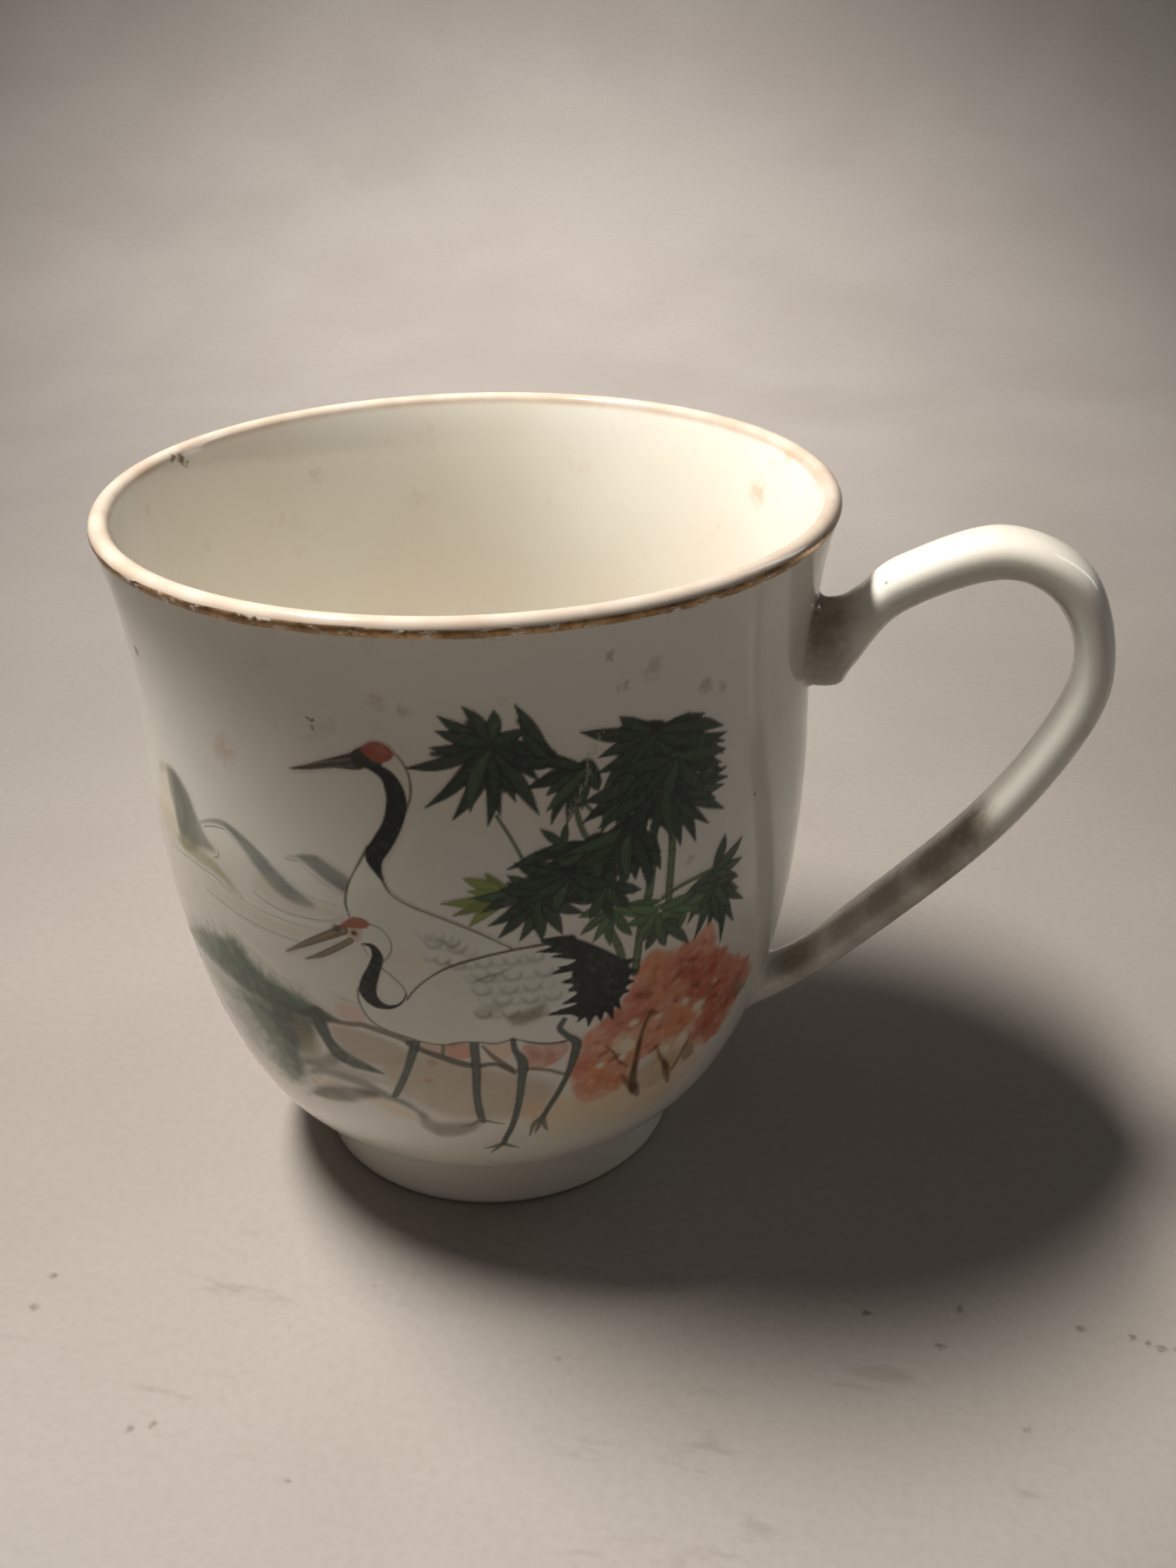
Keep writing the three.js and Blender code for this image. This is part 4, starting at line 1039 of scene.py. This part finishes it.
def paint_rear_crane(e):
    """The crane behind, its neck up and its beak level."""
    e.clear([(-0.6, 62), (-1.9, 59.6), (-3, 57), (-3.3, 54.6), (-2.6, 51), (0, 46), (3, 43.6), (8, 46),
             (14, 50), (12, 51.7), (9, 53.4), (5, 55.2), (2.2, 56.9), (1.2, 58.4), (0.8, 60.4), (0.3, 62)])
    e.wash([(-1, 60), (-2.9, 57), (-3.1, 54.6), (-1, 48), (3, 45), (8, 47), (13.4, 50.4), (9, 53.2), (5, 55),
            (2.2, 56.8), (1, 58.4), (0.4, 60)], BODY_WHITE, 0.75, 0.8)
    paint_leg(e, [(2.9, 37.6), (2.3, 35.8), (1.4, 33.2), (0.3, 30.6), (-0.8, 28.4), (-1.3, 27.6)],
              [0.42, 0.45, 0.36, 0.34, 0.34, 0.2])
    paint_leg(e, [(9.5, 37.4), (9.5, 33), (9.3, 29), (9.5, 25.4), (9.8, 24)], [0.45, 0.45, 0.40, 0.42, 0.3])
    for toe in ([(9.6, 24.4), (11, 23.7), (12.6, 23.2)], [(9.4, 24.3), (8.4, 23.4), (6.8, 22.8)]):
        e.stroke(toe, [0.28, 0.22, 0.08], (0.17, 0.19, 0.16), 0.75, 0.3)
    e.wash([(0, 50.4), (4, 50.4), (5, 47.4), (3, 46.2), (1, 47)], (0.80, 0.66, 0.46), 0.20, 1.8)
    paint_scallops(e, [((4.8, 52.6), (7.2, 52.2), 3), ((5.6, 51.4), (8, 50.8), 3)], (0.34, 0.40, 0.40),
                   0.60, 0.95)
    paint_scallops(e, [((7.6, 51), (9.2, 49.9), 3), ((5.6, 49.6), (8, 48.8), 3)], (0.28, 0.22, 0.16), 0.65,
                   0.85)
    e.stroke([(-0.2, 62.6), (-1.2, 60.8), (-2.3, 58.8), (-3, 57), (-3.3, 55.4), (-3, 53.8)],
             [0.2, 0.15, 0.10, 0.13, 0.17, 0.10], LINE_BROWN, 0.85, 0.18)
    e.stroke([(0.95, 59.6), (1.3, 58.2), (2.1, 57), (4, 55.8), (7, 54.5), (10, 53), (12.2, 51.7),
              (14.2, 50.3)], [0.2, 0.16, 0.11, 0.11, 0.11, 0.12, 0.12, 0.10], LINE_BROWN, 0.92, 0.18)
    e.wash([(2, 72.4), (3.2, 73.8), (4.2, 72.5), (4.75, 70.4), (4.6, 68.2), (4, 67.4), (3, 70.6)],
           (0.74, 0.72, 0.66), 0.5, 0.2)
    e.stroke([(2.9, 74.1), (3.9, 73.1), (4.6, 71.6), (4.8, 70), (4.65, 68.6), (4.1, 67)],
             [0.09, 0.10, 0.11, 0.12, 0.12, 0.10], LINE_BROWN, 0.9, 0.18)
    e.stroke([(-0.3, 72.7), (1.1, 72), (2.5, 71), (3.15, 69.3), (3.15, 67.4), (2.5, 65.2), (1.4, 63.2),
              (0.4, 61.5), (0.6, 60), (1.0, 58.8)], [0.7, 0.55, 0.75, 1.0, 1.08, 1.02, 1.08, 1.0, 0.5, 0.1],
             INK_BLACK, 1.0, 0.2)
    e.wash([(-8.3, 70.4), (-6, 71.35), (-3, 72.6), (-1, 73.4), (0.4, 74.2), (0.7, 72.6), (-0.2, 71.5),
            (-3, 71.35), (-6, 70.7)], (0.050, 0.054, 0.048), 0.97, 0.2)
    e.stroke([(-6.6, 71), (-4, 71.9), (-1.2, 72.6)], [0.03, 0.12, 0.10], (0.26, 0.225, 0.17), 0.8, 0.2)
    e.stroke([(-6, 71), (-3.6, 71.45), (-1, 71.8)], [0.02, 0.05, 0.04], (0.30, 0.26, 0.20), 0.6, 0.15)
    e.wash([(-0.8, 73.5), (0.4, 74.1), (1.6, 73.4), (2.2, 72.3), (0.8, 71.9), (-0.6, 72)],
           (0.045, 0.045, 0.04), 0.95, 0.25)
    e.wash([(0.1, 73.8), (0.9, 74.7), (2, 74.85), (3.1, 74.2), (3.3, 73.2), (2.3, 72.5), (1, 72.8)],
           CROWN_RED, 0.97, 0.25)
    e.wash([(1.2, 74.5), (2.4, 74.3), (2.8, 73.6), (1.8, 73.5)], (0.46, 0.20, 0.14), 0.6, 0.5)


def paint_front_crane(e):
    """The crane in front, its neck in an S, its beak open and its tail a black plume."""
    rng = np.random.default_rng(41)
    e.clear([(-3.2, 43.5), (-3.1, 41.5), (-2.2, 39.8), (-1, 38.8), (1, 38.1), (4, 37.3), (8, 37.5),
             (12, 37.3), (14, 37.6), (17, 36.7), (19.6, 36.5), (20.3, 38), (19.6, 40), (21, 42), (22, 46),
             (21, 49), (17, 50.5), (13, 50), (9, 49), (6, 47.6), (4, 45.8), (2.6, 44), (1.8, 42.6),
             (0.4, 41.9), (-1.5, 42.3), (-2.8, 43.3)])
    e.clear([(-4, 52.4), (-2.4, 53.8), (-0.6, 53.3), (0.7, 52.4), (1.4, 50.8), (1, 49.2), (0.2, 47.5),
             (1.5, 46.2), (2.4, 44.6), (1.8, 43), (0.4, 42), (-1.5, 42.3), (-3, 43.4), (-2.6, 46),
             (-1.6, 48.6), (-2.2, 50.4)])
    e.wash([(-3, 42.8), (-2, 40), (1, 38.4), (5, 37.6), (12, 37.6), (17, 37), (19.6, 37), (20, 40), (21, 44),
            (20.6, 49), (14, 49.8), (8, 48.2), (4, 45.4), (2, 42.8), (-0.6, 42)], BODY_WHITE, 0.80, 0.6)
    e.wash([(0.2, 53), (1.1, 51.6), (1, 49.8), (0.2, 50.6), (-0.6, 52)], BODY_WHITE, 0.7, 0.4)
    e.wash([(0.2, 47), (2, 45), (1.6, 43.4), (0, 43), (-0.4, 45)], BODY_WHITE, 0.7, 0.4)
    e.wash([(5, 46), (9, 48.4), (15, 49.4), (19, 48), (19.6, 43), (17, 41.4), (11, 43), (7, 44)],
           (0.62, 0.66, 0.64), 0.30, 2.0, 0.4 + 0.8 * e.mottle(1.5, 9))
    e.wash([(13.6, 41.4), (15.6, 41.8), (17.6, 42.4), (17.2, 40.6), (15, 39.7), (13.8, 40)],
           (0.30, 0.245, 0.185), 0.75, 1.1)
    e.wash([(10, 42.4), (12, 42.9), (13.4, 43), (12.4, 41.6), (10.4, 41.2)], (0.46, 0.42, 0.34), 0.55, 1.1)
    paint_scallops(e, [((8.6, 48.2), (16.4, 48.6), 7), ((9.8, 46.7), (17.4, 47), 6),
                       ((10.4, 45.1), (18, 45.2), 6), ((11.4, 43.6), (18.4, 43.4), 6)], (0.31, 0.36, 0.36),
                   0.60, 1.0)
    paint_scallops(e, [((10.6, 47.2), (12.6, 47.6), 2), ((11, 41.9), (17, 41.3), 5)], (0.24, 0.20, 0.155),
                   0.60, 0.9)
    e.stroke([(9.6, 46), (11, 46.7), (12.8, 47.3), (14.2, 47.9)], [0.04, 0.13, 0.12, 0.04],
             (0.22, 0.22, 0.19), 0.6, 0.25)

    paint_leg(e, [(13.9, 37.6), (14.1, 36), (14.7, 34.7), (15, 33.4), (14.8, 31), (14.4, 27), (13.6, 23),
                  (12.7, 20.4), (12.2, 18.8)], [0.24, 0.28, 0.45, 0.55, 0.42, 0.36, 0.33, 0.32, 0.3])
    for toe in ([(12.3, 19.2), (11.4, 18), (10.4, 16.8)], [(12.2, 19), (11, 18.4), (9.6, 18)],
                [(12.3, 19), (13.2, 18.3), (14.4, 17.7)]):
        e.stroke(toe, [0.34, 0.3, 0.1], CLAW_GREY, 0.85, 0.35)
    paint_leg(e, [(19.8, 39.6), (19.3, 38.4), (20.2, 37.1), (21.3, 35.8), (21.2, 34), (20.5, 31), (19.4, 28),
                  (18.3, 25.6), (17.6, 23.9)], [0.26, 0.3, 0.32, 0.5, 0.48, 0.32, 0.3, 0.28, 0.3])
    for toe in ([(17.6, 24), (16.4, 22.6), (15.9, 20.2)], [(17.6, 24), (17, 22), (16.6, 20.6)],
                [(17.6, 24), (17.8, 22.2), (18.3, 20.8)], [(17.5, 24), (17.2, 23)]):
        e.stroke(toe, [0.3, 0.34, 0.12][:len(toe)], CLAW_GREY, 0.85, 0.3)

    e.stroke([(-3.15, 44.2), (-3.3, 42.8), (-2.9, 41), (-2, 39.6), (-0.5, 38.7), (2, 37.9), (4, 37.3),
              (6, 37.1), (8, 37.5), (10, 37.5), (12, 37.2), (14, 37.6), (16, 36.9), (18, 36.4),
              (20.2, 36.3)], 0.12, LINE_BROWN, 0.85, 0.2)
    e.stroke([(2.4, 43.4), (3.3, 44.8), (4.8, 46.4), (7, 48), (10, 49.2), (14, 50.1), (18.4, 50.5)],
             [0.10, 0.11, 0.11, 0.15, 0.18, 0.16, 0.22], LINE_BROWN, 0.92, 0.18)

    e.wash([(17.2, 50.9), (19.4, 51.2), (21.4, 50.4), (23.2, 49.2), (25, 47.8), (26.7, 46.2), (27.6, 44.6),
            (27.1, 42), (26.3, 40.6), (24.6, 39.4), (22.4, 39.2), (20.6, 40.4), (21.4, 42.2), (20.8, 44),
            (20.6, 46), (21, 47.8), (19.2, 49.4)], INK_BLACK, 1.0, 0.3)
    plume = [((20, 49.6), (16.9, 49.4)), ((20.4, 50.4), (17.4, 51.1)), ((21.4, 48.4), (18.4, 48.6)),
             ((21.6, 47), (18.4, 46.3)), ((21.6, 46.6), (19, 47.3)), ((21.6, 45), (19.5, 45)),
             ((21.8, 44), (20, 43.6)), ((21.6, 42.4), (19.6, 42.1)), ((21.4, 40.8), (18, 40.6)),
             ((21.8, 40.2), (19.4, 41.1)), ((22.4, 40.4), (21.4, 38.9)), ((23, 40), (22.5, 38)),
             ((24, 40.2), (24.1, 38.2)), ((25, 40.4), (25.7, 38.1)), ((25.6, 41), (26.8, 39.2)),
             ((26.2, 42), (27.6, 41.3)), ((26.6, 43), (28.2, 42.9)), ((26.8, 44.4), (28.4, 44)),
             ((26.6, 45.6), (27.9, 46))]
    for root, tip in plume:
        for _ in range(2):
            jitter = rng.uniform(-0.25, 0.25, 2)
            e.stroke([root, np.array(tip) + jitter], [0.75, 0.05], INK_BLACK, 1.0, 0.18, 1)
    for _ in range(TAIL_SHEENS):
        a = np.array([rng.uniform(21.5, 26), rng.uniform(40.5, 49)])
        e.stroke([a, a + (rng.uniform(0.5, 1.2), -rng.uniform(0.8, 1.8))], [0.10, 0.03], (0.09, 0.09, 0.10),
                 0.28, 0.3, 1)

    e.stroke([(-1.9, 50.5), (-0.8, 50.3), (-0.35, 49), (-0.9, 47.3), (-1.7, 45.4), (-2, 43.8), (-1.3, 42.6),
              (0, 42.15), (1.2, 42.5), (2, 43.3), (2.4, 44.2)],
             [0.08, 0.35, 0.66, 0.76, 0.95, 1.02, 0.75, 0.36, 0.18, 0.12, 0.09], INK_BLACK, 1.0, 0.2)
    e.stroke([(-1, 53.2), (0.3, 52.8), (1.1, 51.8), (1.4, 50.6), (1, 49.4), (0.3, 48.5)], 0.08, LINE_BROWN,
             0.75, 0.16)
    e.stroke([(-0.1, 47.6), (0.8, 46.8), (1.7, 45.8), (2.3, 44.9), (2.4, 43.8)], 0.09, LINE_BROWN, 0.85, 0.16)
    e.stroke([(-2, 50.4), (-1.6, 49.6), (-1.3, 49)], 0.07, LINE_BROWN, 0.7, 0.16)
    e.wash([(-4.4, 52.5), (-3, 53.2), (-1.8, 52.4), (-2, 51), (-3.2, 50.6)], (0.52, 0.38, 0.28), 0.55, 0.5)
    edge, horn = (0.105, 0.085, 0.055), (0.33, 0.27, 0.18)
    for path, half in (([(-11.9, 47), (-9, 48.9), (-6.4, 50.5), (-4, 51.9)], [0.05, 0.36, 0.50, 0.60]),
                       ([(-9.3, 46.8), (-7.2, 47.9), (-5.4, 49.1), (-3.2, 50.7)], [0.05, 0.30, 0.38, 0.34])):
        e.stroke(path, np.array(half) + 0.03, edge, 0.92, 0.2)
        e.stroke(path, np.array(half) * 0.62, horn, 0.85, 0.22)
    e.stroke([(-9.6, 48.4), (-7, 50), (-4.4, 51.4)], 0.05, edge, 0.7, 0.15)
    e.blob((-4.7, 52), 0.5, edge, 0.8, 0.4)
    e.wash([(-4.2, 52.4), (-3.4, 53.3), (-2.5, 53.85), (-1.4, 53.75), (-0.8, 53.15), (-1.4, 52.55),
            (-2.8, 52.35)], (0.40, 0.145, 0.10), 0.95, 0.25)
    e.blob((-2.7, 51.75), 0.46, (0.36, 0.20, 0.12), 0.85, 0.25)
    e.blob((-2.7, 51.75), 0.22, (0.035, 0.02, 0.015), 1.0, 0.16)


def smooth_borders(owner, at_u, at_v):
    """Evens out the steps of the motifs' borders, by drawing their points towards their neighbours."""
    padded = np.pad(owner, 1, constant_values=-1)
    across = padded[:-1, :] != padded[1:, :]
    up = padded[:, :-1] != padded[:, 1:]
    right, left = across[:, 1:], across[:, :-1]
    above, below = up[1:, :], up[:-1, :]
    for _ in range(3):
        moved = []
        for field in (at_u, at_v):
            wide = np.pad(field, 1, mode="edge")
            total = right * wide[1:-1, 2:] + left * wide[1:-1, :-2]
            total = total + above * wide[2:, 1:-1] + below * wide[:-2, 1:-1]
            count = right.astype(int) + left + above + below
            mean = np.divide(total, count, out=field.copy(), where=count > 0)
            moved.append(np.where(count > 0, (field + mean) / 2, field))
        at_u, at_v = moved
    return at_u, at_v


# The motifs in the order in which they are painted: painter, material slot and roughness.
MOTIFS = {
    "hills": (paint_hills, "hill_enamel", 0.16),
    "pine_bank": (paint_pine_bank, "pine_enamel", 0.18),
    "azalea": (paint_azalea, "azalea_enamel", 0.20),
    "bamboo": (paint_bamboo, "bamboo_enamel", 0.22),
    "rear_crane": (paint_rear_crane, "crane_enamel", 0.20),
    "front_crane": (paint_front_crane, "crane_enamel", 0.20),
}


def paint_enamels():
    """Paints every motif and returns one mesh for each."""
    e = Enamel()
    for number, (paint, _, _) in enumerate(MOTIFS.values()):
        e.motif = number
        paint(e)
    # A crane keeps its bare white parts, and the other motifs end where their ink does.
    is_crane = e.owner >= list(MOTIFS).index("rear_crane")
    inked = np.where((e.cover > INKED) | is_crane, e.owner, -1)
    owner = np.maximum.reduce([inked[:-1, :-1], inked[1:, :-1], inked[:-1, 1:], inked[1:, 1:]])
    at_u, at_v = smooth_borders(owner, e.at_u, e.at_v)
    angle = at_u / BELLY_RADIUS
    radius = wall_radius(at_v) + ENAMEL_LIFT
    points = np.stack([radius * np.sin(angle), -radius * np.cos(angle), at_v], -1).reshape(-1, 3)
    colour = e.colour.reshape(-1, 3)
    cover = e.cover.reshape(-1)
    columns = e.at_u.shape[1]
    pieces = []
    for k, name in enumerate(MOTIFS):
        row, column = np.nonzero(owner == k)
        corner = row * columns + column
        faces = np.stack([corner, corner + 1, corner + columns + 1, corner + columns], 1)
        used, local = np.unique(faces, return_inverse=True)
        piece = make_mesh("enamel_" + name, points[used], local.reshape(-1, 4).tolist(), sharp=180)
        ink = piece.data.attributes.new("ink", "FLOAT_VECTOR", "POINT")
        ink.data.foreach_set("vector", (colour[used] / GROUND).astype(np.float32).ravel())
        share = piece.data.attributes.new("cover", "FLOAT", "POINT")
        share.data.foreach_set("value", cover[used].astype(np.float32))
        pieces.append(piece)
    return pieces


# ---------------------------------------------------------------- assembly

white = glaze_material("white_glaze", WALL_MARKS)
# The handle's glaze carries grime and painted shade at its roots and along its lower strap.
handled = glaze_material("handle_glaze", HANDLE_MARKS_AND_SHADE, 0.8)
placed(make_cup(), "cup_body", white)
placed(make_foot(), "foot_ring", glaze_material("foot_glaze", biscuit=True))
sections = handle_sections()
placed(make_handle(sections), "handle", handled)
upper_root, lower_root = sections[:ROOT_SECTIONS], sections[::-1][:ROOT_SECTIONS]
upper_slip = make_slip("upper_slip_fillet", upper_root, 1.1, 1.3)
lower_slip = make_slip("lower_slip_fillet", lower_root, 1.2, 1.6)
placed(upper_slip, "upper_handle_slip", handled)
placed(lower_slip, "lower_handle_slip", handled)
placed(make_gilt(), "gilt_rim_line", gilding_material())

for (motif, (_, slot, gloss)), piece in zip(MOTIFS.items(), paint_enamels()):
    placed(piece, "print_" + motif, enamel_material(slot + "_" + motif, gloss))


# ---------------------------------------------------------------- floor and backdrop

SWEEP_FRONT = -1400.0
SWEEP_FLAT_END = 380.0
SWEEP_RADIUS = 420.0
SWEEP_TOP = 2600.0
SWEEP_HALF_WIDTH = 2600.0
SWEEP_BACK = Vector((-0.224, 0.975, 0))
SWEEP_SIDE = Vector((0.975, 0.224, 0))

PAPER_DARK = (0.298, 0.268, 0.246)
PAPER_PALE = (0.326, 0.296, 0.273)
PAPER_FLECK = (0.25, 0.215, 0.195)
SCUFF_BROWN = (0.16, 0.13, 0.105)
PAPER_ROUGHNESS = 0.55


def paper_material():
    """Matt grey paper, with soft flecks, and with scuffs and brown specks in front of the cup."""
    material, tree, shader = new_material("floor_paper")
    place = node(tree, "TexCoord").outputs["Object"]
    tone = mix(tree, ramp(tree, noise(tree, place, 90, 4), 0.35, 0.65), PAPER_DARK, PAPER_PALE)
    tone = mix(tree, ramp(tree, noise(tree, place, 1.2, 4), 0.35, 0.75, 0, 0.25), tone, PAPER_FLECK)
    along = {"Vector": place, "Scale": (1, 3.5, 1), "Rotation": (0, 0, 0.7)}
    stretched = node(tree, "Mapping", along).outputs[0]
    scuff = ramp(tree, noise(tree, stretched, 22, 6, 0.6), 0.60, 0.70, 0, 0.34)
    nearness = ramp(tree, coordinate(tree, place, "Y"), -20 * MM, -45 * MM)
    tone = mix(tree, math_node(tree, "MULTIPLY", scuff, nearness), tone, SCUFF_BROWN)
    tone = blemished(tree, place, tone, FLOOR_MARKS, 1.6)
    feed(tree, shader, {"Base Color": tone, "Roughness": PAPER_ROUGHNESS})
    return material


def make_floor():
    """A pale sweep: flat under the cup, then curving up behind it."""
    depth = np.concatenate([
        [(SWEEP_FRONT, 0), (-500, 0), (0, 0), (SWEEP_FLAT_END, 0)],
        ellipse((SWEEP_FLAT_END, SWEEP_RADIUS), (SWEEP_RADIUS, SWEEP_RADIUS), -90, 0, 24)[1:],
        [(SWEEP_FLAT_END + SWEEP_RADIUS, SWEEP_TOP)],
    ])
    width = np.linspace(-SWEEP_HALF_WIDTH, SWEEP_HALF_WIDTH, 9)
    points = [SWEEP_SIDE * w + SWEEP_BACK * d + Vector((0, 0, h)) for d, h in depth for w in width]
    floor = make_mesh("floor_sweep", np.array(points), grid_faces(len(depth), len(width)))
    floor.data.materials.append(paper_material())


# ---------------------------------------------------------------- camera and light

CAMERA_DISTANCE = 178.78
CAMERA_HEIGHT = 143.01
CAMERA_SIDE = math.radians(17.2)
CAMERA_PAN = -0.0742
CAMERA_PITCH = 0.4872
CAMERA_ROLL = -0.0167
CAMERA_LENS = 36.2
CAMERA_SENSOR = 36.0


def make_camera():
    """The camera, in front of the cup and a little towards its handle."""
    turn = Matrix.Rotation(CAMERA_PAN + CAMERA_SIDE, 3, "Z")
    up = Vector((0, math.sin(CAMERA_PITCH), math.cos(CAMERA_PITCH)))
    ahead = Vector((0, math.cos(CAMERA_PITCH), -math.sin(CAMERA_PITCH)))
    cos, sin = math.cos(CAMERA_ROLL), math.sin(CAMERA_ROLL)
    right = Vector((1, 0, 0))
    axes = (turn @ (cos * right + sin * up), turn @ (cos * up - sin * right), turn @ -ahead)
    place = from_foot(*(Matrix.Rotation(CAMERA_SIDE, 3, "Z") @ Vector((0, -CAMERA_DISTANCE, CAMERA_HEIGHT))))
    data = bpy.data.cameras.new("camera")
    data.sensor_fit = "VERTICAL"
    data.sensor_height = CAMERA_SENSOR
    data.lens = CAMERA_LENS
    data.clip_start = 0.01
    camera = bpy.data.objects.new("camera", data)
    bpy.context.scene.collection.objects.link(camera)
    camera.matrix_world = Matrix.Translation(place) @ Matrix(axes).transposed().to_4x4()
    bpy.context.scene.camera = camera


def make_lamp(name, place, target, size, power, colour, shape, spread):
    """An area lamp at a place, turned to a target, both in millimetres from the foot's middle."""
    data = bpy.data.lights.new(name, "AREA")
    data.shape = shape
    data.size = size[0] * MM
    data.size_y = size[1] * MM
    data.energy = power
    data.color = colour
    data.spread = math.radians(spread)
    lamp = bpy.data.objects.new(name, data)
    bpy.context.scene.collection.objects.link(lamp)
    lamp.location = from_foot(*place)
    aim = (Vector(target) - Vector(place)).normalized()
    lamp.rotation_mode = "QUATERNION"
    lamp.rotation_quaternion = aim.to_track_quat("-Z", "Y")
    return lamp


def make_light():
    """A long oval key lamp high on the left, a lamp on the sweep, a weak window and a faint warm room."""
    warm, neutral, cool = (1.0, 0.965, 0.90), (1.0, 0.975, 0.945), (0.94, 0.965, 1.0)
    make_lamp("key_lamp", (-189, -12, 506), (20, 0, 20), (204, 56), 0.90, warm, "ELLIPSE", 76)
    make_lamp("backdrop_lamp", (0, 140, 620), (-130, 460, 0), (300, 300), 1.44, neutral, "DISK", 64)
    make_lamp("side_window", (700, 500, 500), (0, 0, 40), (160, 600), 0.78, cool, "RECTANGLE", 180)
    world = bpy.data.worlds.new("room")
    bpy.context.scene.world = world
    world.use_nodes = True
    background = world.node_tree.nodes["Background"]
    feed(world.node_tree, background, {"Color": (1.0, 0.96, 0.88, 1), "Strength": 0.125})


make_floor()
make_camera()
make_light()
view = bpy.context.scene.view_settings
view.view_transform = "Standard"
view.gamma = 0.93
view.exposure = 0.06
